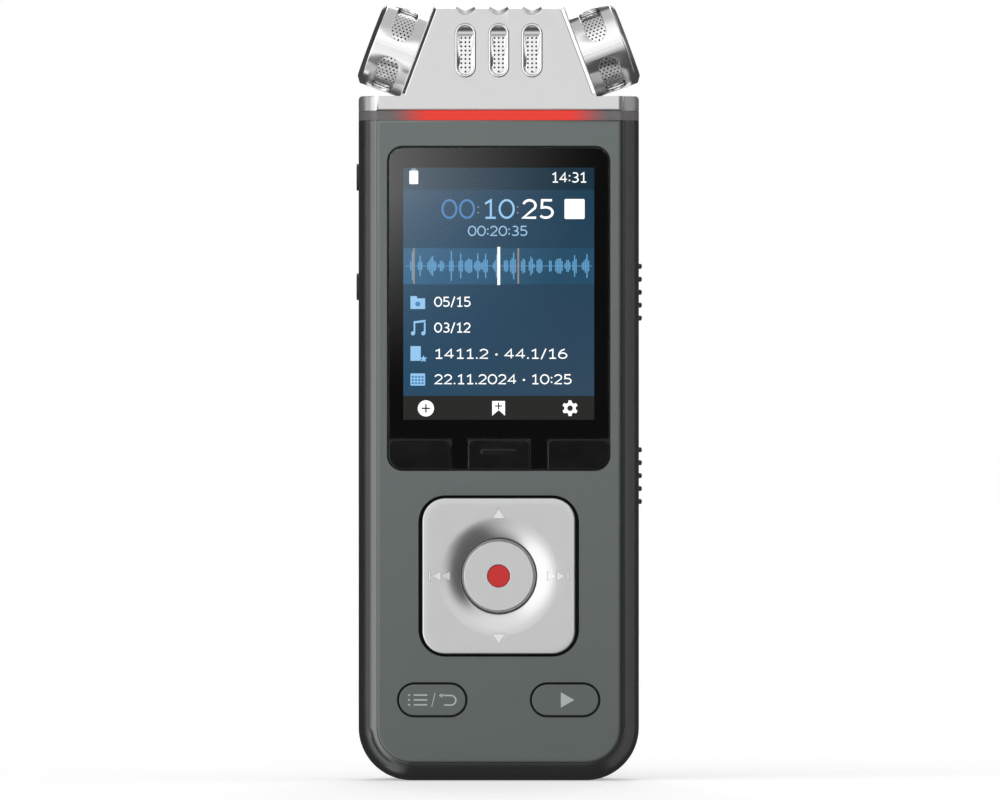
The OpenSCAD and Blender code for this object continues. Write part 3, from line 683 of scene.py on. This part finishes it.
refine("side_frame", 0.05, finish["dark_metal_paint"], first=case_edge)
refine("front_plate", 0.06, finish["face_paint"], wide=(0.5, outer_front_loop), flatten=0.3)
refine("rear_cover", 0.12, finish["dark_plastic"])
refine("light_bar", 0.06, finish["light_guide"], first=bowed_bevel)


def slanted(face):
    """Whether a face is one of the bevels down the crown's slanted sides."""
    n, middle = face.normal, face.calc_center_median()
    return n.y < -0.3 and abs(n.x) > 0.4 and n.z > 0.1 and abs(middle.x) > 11 * MM and middle.z > 110 * MM


refine(
    "crown_shell", 0.1, finish["satin_silver"], first=bowed_bevel, wide=(0.4, bevel_corners),
    second=finish["polished_silver"], picks=slanted,
)

# ---- Microphones ----


def sheet_with_holes(outline, holes, radius, place, thick, bends=()):
    """A perforated metal sheet. outline, holes and bends (extra points) are in the sheet's own plane.

    place(u, v, depth) puts a point of the sheet into the frame.
    """
    points = [Vector(p) for p in outline]
    loops = [list(range(len(points)))]
    for hx, hz in holes:
        first = len(points)
        points += [Vector(p) for p in ring_points(hx, hz, radius, 8)]
        loops.append(list(range(first, len(points))))
    edges = [(loop[i], loop[(i + 1) % len(loop)]) for loop in loops for i in range(len(loop))]
    points += [
        Vector(b) for b in bends if all(math.dist(b, hole) > 1.3 * radius for hole in holes)
    ]
    flat, _, faces, _, _, _ = delaunay_2d_cdt(points, edges, [], 1, 1e-9)
    spots = [Vector(h) for h in holes]

    def solid(face):
        mid = sum((flat[i] for i in face), Vector((0, 0))) / len(face)
        return all((mid - s).length > 0.93 * radius for s in spots)

    faces = [f for f in faces if solid(f)]
    shape = bmesh.new()
    fore = [shape.verts.new(place(p.x, p.y, 0)) for p in flat]
    rear = [shape.verts.new(place(p.x, p.y, thick)) for p in flat]
    count = {}
    for f in faces:
        shape.faces.new([fore[i] for i in f])
        shape.faces.new([rear[i] for i in f[::-1]])
        for k in range(len(f)):
            a, b = f[k], f[(k + 1) % len(f)]
            count[(a, b)] = True
    for a, b in count:
        if (b, a) not in count:
            shape.faces.new((fore[b], fore[a], rear[a], rear[b]))
    for v in [v for v in shape.verts if not v.link_faces]:
        shape.verts.remove(v)
    return shape


def loft(shape, rings):
    """Joins rings of (x, y, z) points into a closed tube whose last ring meets the first."""
    loops = [[shape.verts.new(p) for p in ring] for ring in rings]
    for a, b in zip(loops, loops[1:] + loops[:1]):
        for i in range(len(a)):
            j = (i + 1) % len(a)
            shape.faces.new((a[i], a[j], b[j], b[i]))


def join_into(whole, part):
    """Adds a bmesh to another with its faces turned outwards, and frees it."""
    bmesh.ops.recalc_face_normals(part, faces=part.faces)
    copy = bpy.data.meshes.new("part")
    part.to_mesh(copy)
    part.free()
    whole.from_mesh(copy)
    bpy.data.meshes.remove(copy)


def pill(half_w, half_h, steps=16):
    """An upright pill-shaped outline about its own middle."""
    top = half_h - half_w
    return ring_points(0, top, half_w, steps, 0, math.pi) + ring_points(
        0, -top, half_w, steps, math.pi, math.pi
    )


def front_grilles():
    """The six cups in the crown's slots: each a rim round a perforated sheet with a curled top."""
    low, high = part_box("front_grilles")
    mid_z = (low.z + high.z) / 2
    pitch = 5.34 * MM
    half_w, half_h, rim = 1.62 * MM, 4.27 * MM, 0.3 * MM
    inner_w, inner_h = half_w - rim, half_h - rim
    deep = 0.7 * MM
    step = 0.675 * MM
    curl = 1.75 * MM
    roll = 0.34 * MM
    holes = [(i * step, 2.0 * MM - k * step) for i in (-1, 0, 1) for k in range(9)]
    holes = [h for h in holes if abs(h[1]) < inner_h - abs(h[0]) * 0.7 - 0.1 * MM]
    whole, backing = bmesh.new(), bmesh.new()
    for side in (-1, 1):
        proud = 0.15 * MM if side < 0 else 0
        wall = low.y + 0.15 * MM if side < 0 else -high.y
        for i in (-1, 0, 1):

            def place(u, v, w):
                over = max(0.0, v - (inner_h - curl)) / curl
                inside = inner_w - math.hypot(u, max(0.0, abs(v) - (inner_h - inner_w)))
                fall = max(0.0, 1 - inside / roll) if v < inner_h - curl else 0.0
                wave = math.sin(over * 3 * math.pi) * min(1.0, over * 3)
                y = wall + deep - 0.68 * MM * over ** 1.3 - 0.05 * MM * wave
                y += 0.25 * MM * (1 - math.sqrt(max(0.0, 1 - min(1.0, fall) ** 2))) + w
                return (i * pitch + u, -side * y, mid_z + v)

            # the rim: outer wall, rounded front, inner wall
            sections = [(half_w, half_h, wall + 0.9 * MM)]
            for k in range(7):
                a = math.pi * k / 6
                grow = -rim / 2 + rim / 2 * math.cos(a)
                crest = 0.12 * MM * math.sin(a)
                sections.append((half_w + grow, half_h + grow, wall - proud + 0.12 * MM - crest))
            sections.append((inner_w, inner_h, wall + 0.9 * MM))
            part = bmesh.new()
            loft(part, [
                [(i * pitch + x, -side * y, mid_z + z) for x, z in pill(w, h)] for w, h, y in sections
            ])
            join_into(whole, part)
            sheet = pill(inner_w - 0.02 * MM, inner_h - 0.02 * MM)
            bends = [
                (inner_w * a / 5, inner_h - curl * (1 - b / 14))
                for a in range(-4, 5) for b in range(14)
                if math.hypot(inner_w * a / 5, max(0, inner_w - curl * (1 - b / 14))) < inner_w * 0.96
            ]
            for inset in (0.08 * MM, 0.18 * MM, 0.34 * MM):
                bends += [p for p in pill(inner_w - inset, inner_h - inset) if p[1] < inner_h - curl]
            join_into(whole, sheet_with_holes(sheet, holes, 0.17 * MM, place, 0.12 * MM, bends))
            cloth = [(x + i * pitch, z + mid_z) for x, z in sheet]
            prism(backing, cloth, -side * (wall + 0.9 * MM), -side * (wall + 0.85 * MM))
    frame["nodes"]["front_grilles"].name = "cad_front_grilles"
    add_piece(
        "front_grilles", mesh_from("front_grilles", whole), "case", finish["grille_metal"],
        ["front_grilles"], 40,
    )
    add_piece(
        "grille_backings", mesh_from("grille_backings", backing), "case", finish["black_cloth"],
    )


front_grilles()

for side in ("left", "right"):
    refine(side + "_mic_drum", 0.12, finish["polished_silver"], segments=3)
    refine(side + "_drum_cap", 0.06, finish["polished_silver"])


def drum_mesh(side):
    """The perforated sleeve inside a microphone drum, with its holes in staggered rows."""
    cad = side + "_drum_mesh"
    hand = -1 if side == "left" else 1
    lean = math.radians(20.5)
    axis = Vector((hand * math.cos(lean), 0, math.sin(lean)))
    up = Vector((-hand * math.sin(lean), 0, math.cos(lean)))
    out = Vector((0, -1, 0))
    middle = centre(cad)
    radius, half, pitch = 6.22 * MM, 2.6 * MM, 0.67 * MM
    span = math.radians(40) * radius
    outline = rounded_rect(0, 0, 2 * span, 2 * half, 0.4 * MM, 3)
    rows = int(span / (pitch * 0.87))
    holes = [
        (r * pitch * 0.87, (k + 0.5 * (r % 2)) * pitch)
        for r in range(-rows + 1, rows)
        for k in range(-4, 5)
        if abs((k + 0.5 * (r % 2)) * pitch) < half - 0.3 * MM
    ]
    whole = bmesh.new()
    for turn in (-47, 47, 133, 227):
        mid = math.radians(turn)

        def place(u, v, w):
            angle = mid + u / radius
            ray = out * math.cos(angle) + up * math.sin(angle)
            return middle + axis * v + ray * (radius - w)

        join_into(whole, sheet_with_holes(outline, holes, 0.17 * MM, place, 0.2 * MM))
    frame["nodes"][cad].name = "cad_" + cad
    add_piece(cad, mesh_from(cad, whole), "case", finish["grille_metal"], [cad], 40)


for side in ("left", "right"):
    drum_mesh(side)

# ---- Display ----

refine("display_window", 0.1, finish["window_glass"])
for at in ("left", "center", "right"):
    refine("soft_key_" + at, 0.14, finish["key_gloss_black"], segments=3)

# the lit layer, bonded into the back of the window so that the glass has no second reflection
SCREEN_W, SCREEN_H, SCREEN_Z = 30.6 * MM, 40.4 * MM, 78.1 * MM
panel_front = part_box("display_window")[1].y - 0.02 * MM
panel_back = panel_front + 0.14 * MM
lit_layer = bmesh.new()
prism(
    lit_layer, rounded_rect(0, SCREEN_Z, SCREEN_W, SCREEN_H, 0.05 * MM), panel_back, panel_front
)
add_piece("lit_layer", mesh_from("lit_layer", lit_layer), "case", finish["screen"])
ink_back = panel_front - 0.004 * MM
ink_front = panel_front - 0.018 * MM

screen_ink = {}


def ink(colour):
    """The bmesh that holds every mark of one colour on the screen."""
    return screen_ink.setdefault(colour, bmesh.new())


def mark(colour, outline, lift=0.0):
    """Adds one filled mark to the screen, lifted by lift millimetres."""
    prism(ink(colour), outline, ink_back - lift * MM, ink_front - lift * MM)


# Each numeral's and sign's width and strokes, in a cell 1 high. A loop ends where it starts.
GLYPHS = {
    "0": (0.76, [arc(0.38, 0.5, 0.37, 0.5, 0, 360, 28)]),
    "1": (0.66, [[(0.08, 0.8), (0.38, 0.99), (0.38, 0.0)], [(0.1, 0.0), (0.64, 0.0)]]),
    "2": (0.7, [arc(0.34, 0.7, 0.31, 0.3, 165, -30) + [(0.03, 0.0), (0.68, 0.0)]]),
    "3": (
        0.68,
        [arc(0.31, 0.75, 0.3, 0.25, 130, -90, 12) + arc(0.31, 0.25, 0.34, 0.25, 90, -140, 14)[1:]],
    ),
    "4": (0.76, [[(0.54, 0.0), (0.54, 1.0), (0.02, 0.29), (0.74, 0.29)]]),
    "5": (0.68, [[(0.62, 1.0), (0.12, 1.0), (0.1, 0.58)] + arc(0.3, 0.3, 0.35, 0.3, 100, -140)]),
    "6": (0.72, [arc(0.37, 0.3, 0.33, 0.3, 0, 360, 24), arc(0.62, 0.3, 0.58, 0.7, 180, 98)]),
    ":": (0.16, [arc(0.08, 0.18, 0.02, 0.02, 0, 360, 6), arc(0.08, 0.68, 0.02, 0.02, 0, 360, 6)]),
    "/": (0.44, [[(0.02, -0.12), (0.42, 1.08)]]),
    ".": (0.14, [arc(0.07, 0.02, 0.02, 0.02, 0, 360, 6)]),
    "·": (0.5, [arc(0.25, 0.42, 0.05, 0.05, 0, 360, 8)]),
    " ": (0.1, []),
}


def write(colour, text, left, low, width, height, line):
    """Draws numerals and signs on the screen, fitted to a box whose lower left corner is (left, low)."""
    space = 0.17
    natural = sum(GLYPHS[c][0] for c in text) + space * (len(text) - 1)
    stretch = (width - line) / natural
    tall = height - line
    at = left + line / 2
    lift = 0
    for c in text:
        for path in GLYPHS[c][1]:
            points = [((at + x * stretch) * MM, (low + line / 2 + z * tall) * MM) for x, z in path]
            closed = math.dist(points[0], points[-1]) < 1e-7
            back = ink_back - 0.001 * MM * (lift % 2)
            front = ink_front - 0.001 * MM * (lift % 2)
            stroke(ink(colour), points[:-1] if closed else points, line * MM, back, front, closed)
            lift += 1
        at += (GLYPHS[c][0] + space) * stretch


def box_at(x0, z0, x1, z1):
    """An upright rectangle between two corners, given in millimetres."""
    return [(x0 * MM, z0 * MM), (x1 * MM, z0 * MM), (x1 * MM, z1 * MM), (x0 * MM, z1 * MM)]


def screen_marks():
    """Generic display contents: a clock, a counter, a waveform, four rows and three soft-key icons."""
    # status strip
    mark("white", rounded_rect(-13.62 * MM, 96.75 * MM, 1.4 * MM, 2.15 * MM, 0.15 * MM))
    mark("dim", box_at(-14.0, 97.86, -13.24, 98.2))
    write("white", "14:31", 8.4, 95.9, 5.75, 1.68, 0.2)
    # counter
    write("deep", "00", -9.23, 90.1, 5.46, 3.17, 0.34)
    write("blue", "10", -2.6, 90.1, 5.2, 3.17, 0.34)
    write("white", "25", 3.66, 90.1, 5.25, 3.17, 0.38)
    for x in (-3.28, 3.03):
        for z in (91.1, 92.0):
            mark("dim", ring_points(x * MM, z * MM, 0.13 * MM, 12))
    mark("white", rounded_rect(12.15 * MM, 91.68 * MM, 3.22 * MM, 3.2 * MM, 0.22 * MM))
    write("pale", "00:20:35", -4.97, 87.35, 9.6, 1.65, 0.19)
    # waveform: clusters of upright strokes, some with a tall spike
    rng = random.Random(4)
    mid_z, pitch = 82.55, 0.25
    mark("wave", box_at(-14.9, mid_z - 0.05, 14.9, mid_z + 0.05))
    clusters = []
    x = -14.3
    while x < 13.6:
        half = rng.uniform(0.3, 0.85)
        clusters.append((x + half, half, rng.uniform(0.9, 1.4), rng.choice((0, 0, 1.2, 1.6))))
        x += 2 * half + rng.uniform(0.15, 0.95)
    for k in range(int(29.4 / pitch)):
        x = -14.6 + k * pitch
        tall = 0.0
        for middle, half, block, spike in clusters:
            t = abs(x - middle) / half
            if t < 1:
                tall = max(tall, block * math.sqrt(1 - t * t) ** 0.6 * rng.uniform(0.82, 1.0))
            if t < 0.35:
                tall += spike * (1 - t / 0.35)
        if tall > 0.12 and abs(x) > 0.3:
            mark("wave", box_at(x - 0.1, mid_z - tall, x + 0.1, mid_z + tall), 0.002)
    mark("white", box_at(-0.22, 79.5, 0.22, 85.6), 0.004)
    for x in (-13.6, 3.13):
        mark("amber", box_at(x - 0.13, 79.7, x + 0.13, 85.4), 0.003)
    # folder
    mark("blue", box_at(-14.15, 75.65, -11.8, 77.35))
    mark("blue", box_at(-14.15, 77.35, -13.1, 77.72), 0.001)
    mark("deep", ring_points(-12.98 * MM, 76.45 * MM, 0.4 * MM, 20), 0.006)
    # notes
    for x in (-13.75, -12.1):
        mark("blue", ring_points(x * MM, 71.75 * MM, 0.33 * MM, 16))
        mark("blue", box_at(x + 0.1, 71.75, x + 0.36, 73.5), 0.001)
    mark("blue", bar(-13.65 * MM, 73.5 * MM, -11.74 * MM, 73.75 * MM, 0.34 * MM), 0.002)
    # page with a star
    mark("blue", box_at(-14.15, 67.35, -12.5, 69.7))
    star = [
        ((-12.05 + r * math.cos(a)) * MM, (67.65 + r * math.sin(a)) * MM)
        for k in range(10)
        for r, a in [((0.62, 0.27)[k % 2], math.pi / 2 + k * math.pi / 5)]
    ]
    mark("blue", star, 0.003)
    # calendar
    mark("blue", rounded_rect(-12.98 * MM, 64.35 * MM, 2.35 * MM, 1.95 * MM, 0.15 * MM))
    for i in range(4):
        for k in range(3):
            x, z = -13.95 + 0.52 * i, 63.6 + 0.5 * k
            mark("deep", box_at(x, z, x + 0.35, z + 0.32), 0.003)
    # rows of numerals
    rows = (("05/15", 76.0, 5.9), ("03/12", 71.86, 5.9), ("1411.2 · 44.1/16", 67.66, 21.4),
            ("22.11.2024 · 10:25", 63.58, 22.1))
    for text, low, width in rows:
        write("white", text, -10.37, low, width, 1.62, 0.2)
    # soft-key icons
    mark("white", ring_points(-11.68 * MM, 59.72 * MM, 1.3 * MM, 32))
    mark("ground", box_at(-12.35, 59.6, -11.01, 59.84), 0.003)
    mark("ground", box_at(-11.8, 59.05, -11.56, 60.39), 0.004)
    ribbon = [(-1.05, 58.55), (0, 59.45), (1.0, 58.55), (1.0, 60.9), (-1.05, 60.9)]
    mark("white", [(x * MM, z * MM) for x, z in ribbon])
    mark("ground", box_at(-0.6, 60.0, 0.55, 60.2), 0.003)
    mark("ground", box_at(-0.13, 59.55, 0.08, 60.65), 0.004)
    teeth = []
    for k in range(6):
        for off, r in ((-0.3, 0.93), (-0.2, 1.27), (0.2, 1.27), (0.3, 0.93)):
            a = k * math.pi / 3 + off + math.pi / 6
            teeth.append(((11.43 + r * math.cos(a)) * MM, (59.75 + r * math.sin(a)) * MM))
    mark("white", teeth)
    mark("ground", ring_points(11.43 * MM, 59.75 * MM, 0.45 * MM, 20), 0.003)


screen_marks()
INK = {
    "white": (1.0, 1.0, 1.0, 1),
    "pale": rgb("9cc6e6"),
    "blue": rgb("96c8f0"),
    "deep": rgb("4682b8"),
    "dim": rgb("8a93a6"),
    "wave": rgb("5f9cc8"),
    "amber": rgb("9a8a7c"),
    "ground": rgb("252523"),
}
for tint, shape in screen_ink.items():
    add_piece(
        "screen_" + tint, mesh_from("screen_" + tint, shape), "case",
        lit("screen_" + tint, INK[tint], 1.25 if tint == "white" else 1.05),
    )

# ---- Navigation pad ----

pad_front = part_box("nav_pad")[0].y
button = centre("record_button")
PAD_W, PAD_H, PAD_R = 24.5 * MM, 25 * MM, 3.7 * MM
HOLE_R, DISH_R, DISH_DEPTH = 5.94 * MM, 9.7 * MM, 0.8 * MM
STEM_AT, STEM_R = 9.8 * MM, 1.2 * MM


def pad_depth(r):
    """How far the pad's face lies behind its flat front, at a distance from its middle."""
    t = min(1.0, max(0.0, (r - HOLE_R) / (DISH_R - HOLE_R)))
    return DISH_DEPTH * (1 - t) ** 1.65


def pad_outline(angle, grow):
    """The distance to the pad's outline along a direction, with the outline grown by grow."""
    c, s = abs(math.cos(angle)), abs(math.sin(angle))
    half_w, half_h = PAD_W / 2 + grow, PAD_H / 2 + grow
    r = max(0.1 * MM, PAD_R + grow)
    reach = min(half_w / c if c > 1e-9 else 1, half_h / s if s > 1e-9 else 1)
    cx, cz = half_w - r, half_h - r
    if reach * c > cx and reach * s > cz:
        along = c * cx + s * cz
        reach = along + math.sqrt(max(0.0, along * along - cx * cx - cz * cz + r * r))
    return reach


def nav_pad():
    """The pad: a closed ring of sections (hole wall, dish, face, side, flange, back) and four stems."""
    stem_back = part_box("nav_pad")[1].y
    flange_back = stem_back - 0.75 * MM
    flange_front = flange_back - 0.6 * MM
    fillet, lip = 0.24 * MM, 1.1 * MM
    rings = [("circle", HOLE_R, flange_back), ("circle", HOLE_R, pad_front + DISH_DEPTH + 0.12 * MM)]
    rings.append(("circle", HOLE_R + 0.04 * MM, pad_front + DISH_DEPTH + 0.03 * MM))
    for k in range(14):
        r = HOLE_R + 0.12 * MM + (DISH_R - HOLE_R - 0.12 * MM) * k / 13
        rings.append(("circle", r, pad_front + pad_depth(r)))
    rings.append(("outline", -1.2 * MM, pad_front))
    for k in range(7):
        a = k / 6 * math.pi / 2
        rings.append(("outline", -fillet * (1 - math.sin(a)), pad_front + fillet * (1 - math.cos(a))))
    rings += [
        ("outline", 0, flange_front), ("outline", lip, flange_front), ("outline", lip, flange_back),
    ]
    steps = 256
    shape = bmesh.new()
    loops = []
    for kind, size, y in rings:
        loop = []
        for i in range(steps):
            a = 2 * math.pi * i / steps
            r = size if kind == "circle" else pad_outline(a, size)
            loop.append(shape.verts.new((button.x + r * math.cos(a), y, button.z + r * math.sin(a))))
        loops.append(loop)
    last_fillet = next(k for k, r in enumerate(rings) if r[:2] == ("outline", 0))
    # painted shade: the hole wall and the side, flange and back of the pad take the second, near-black
    # finish, which darkens the gaps round the pad and the record button
    for k, (a, b) in enumerate(zip(loops, loops[1:] + loops[:1])):
        for i in range(steps):
            j = (i + 1) % steps
            face = shape.faces.new((a[i], a[j], b[j], b[i]))
            face.material_index = 1 if k == 0 or k >= last_fillet else 0
    for k in range(4):
        a = k * math.pi / 2
        x, z = button.x + STEM_AT * math.cos(a), button.z + STEM_AT * math.sin(a)
        prism(shape, ring_points(x, z, STEM_R), stem_back, flange_back - 0.01 * MM)
    frame["nodes"]["nav_pad"].name = "cad_nav_pad"
    add_piece(
        "nav_pad", mesh_from("nav_pad", shape), "nav_pad", [finish["pad_silver"], finish["gap_black"]],
        ["nav_pad"], 50,
    )


nav_pad()
finish["mark_silver"] = surface("mark_silver", (0.8, 0.8, 0.8, 1), 0.3, 0.5, mottle=0.02)
# the darker finish below paints the shadow round the raised arrows
finish["mark_painted_shadow"] = surface("mark_painted_shadow", (0.42, 0.42, 0.42, 1), 0.35, 0.8, mottle=0.02)


def pad_marks(name, grow, proud, material):
    """The four arrows round the pad, standing proud of it, or with grow a darker surround that paints their
    shadow on the pad.
    """
    shape = bmesh.new()
    bx, bz = button.x / MM, button.z / MM

    def on_pad(x, y, z):
        return (x, y + pad_depth(math.hypot(x - button.x, z - button.z)), z)

    def raised(outline):
        outline = [(x * MM, z * MM) for x, z in outline]
        prism(shape, outline, pad_front + 0.05 * MM, pad_front - proud * MM, on_pad)

    def arrow(x, z, length, width, turn):
        c, s = math.cos(turn), math.sin(turn)
        length, width, shift = length + 2.4 * grow, width + 3 * grow, grow * 0.2
        corners = [(length / 2, 0), (-length / 2, width / 2), (-length / 2, -width / 2)]
        corners = [(u + shift, v) for u, v in corners]
        raised([(x + (u * c - v * s), z + (u * s + v * c)) for u, v in corners])

    arrow(bx, bz + 10.02, 1.5, 1.8, math.pi / 2)
    arrow(bx, bz - 10.07, 1.5, 1.8, -math.pi / 2)
    for hand in (-1, 1):
        for out in (8.5, 9.98):
            arrow(bx + hand * out, bz, 1.3, 1.35, 0 if hand > 0 else math.pi)
        edge = bx + hand * 11.1
        reach = 0.68 + grow
        raised(bar(edge, bz - reach, edge, bz + reach, 0.2 + 2 * grow))
    add_piece(name, mesh_from(name, shape), "nav_pad", material)


# painted shadow: a darker, larger copy of each arrow lying under it on the pad
pad_marks("pad_mark_painted_shadows", 0.09, 0.012, finish["mark_painted_shadow"])
pad_marks("pad_marks", 0.0, 0.05, finish["mark_silver"])
# the record button's side walls take the near-black finish, painted shade for the gap round it
refine(
    "record_button", 0.13, finish["pad_silver"], segments=3, second=finish["gap_black"], picks=side_wall
)
refine("record_dot", 0.06, finish["record_red"])

# ---- Menu and play buttons ----

# the side walls of these buttons take the near-black finish, painted shade for the gaps round them
for key in ("menu_button", "play_button"):
    refine(key, 0.14, finish["face_paint"], segments=3, second=finish["gap_black"], picks=side_wall)
finish["print_grey"] = surface("print_grey", rgb("a9b0ae"), 0.55, mottle=0.05)


def button_marks():
    """The printed list, slash and return arrow, and the play arrow."""
    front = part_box("menu_button")[0].y
    back, fore = front + 0.02 * MM, front - 0.015 * MM
    mid = centre("menu_button")
    x, z = mid.x, mid.z
    shape = bmesh.new()
    for k in (-1, 0, 1):
        row = z + k * 0.78 * MM
        prism(shape, ring_points(x - 3.72 * MM, row, 0.17 * MM, 12), back, fore)
        prism(shape, rounded_rect(x - 1.9 * MM, row, 2.2 * MM, 0.25 * MM, 0.1 * MM, 3), back, fore)
    prism(shape, bar(x - 0.1 * MM, z - 1.1 * MM, x + 0.45 * MM, z + 1.1 * MM, 0.14 * MM), back, fore)
    prism(shape, bar(x + 1.5 * MM, z + 0.72 * MM, x + 3.0 * MM, z + 0.72 * MM, 0.24 * MM), back, fore)
    prism(shape, bar(x + 1.9 * MM, z - 0.82 * MM, x + 3.0 * MM, z - 0.82 * MM, 0.24 * MM), back, fore)
    prism(shape, band(x + 3.0 * MM, z - 0.05 * MM, 0.77 * MM, 0.24 * MM, -math.pi / 2, math.pi), back, fore)
    tip = [(1.02, 0.72), (1.62, 0.36), (1.62, 1.08)]
    prism(shape, [(x + u * MM, z + v * MM) for u, v in tip], back, fore)
    add_piece(
        "menu_marks", mesh_from("menu_marks", shape), "menu_button", finish["print_grey"]
    )
    mid = centre("play_button")
    x, z = mid.x, mid.z
    shape = bmesh.new()
    play = [(x - 0.7 * MM, z - 1.24 * MM), (x + 1.45 * MM, z), (x - 0.7 * MM, z + 1.24 * MM)]
    prism(shape, play, back, fore)
    add_piece(
        "play_mark", mesh_from("play_mark", shape), "play_button", finish["print_grey"]
    )


button_marks()

# ---- Side parts ----

refine("hold_slider", 0.08, finish["dark_plastic"])
refine("mode_slider", 0.08, finish["dark_plastic"])
refine("headphone_jack", 0.06, finish["black_plastic"])
refine("microphone_jack", 0.06, finish["black_plastic"])

# ---- Finishes on the CAD nodes that stay ----

for piece in frame["nodes"].values():
    for holder in piece.material_slots:
        holder.material = finish[holder.material.name.split(".")[0]]
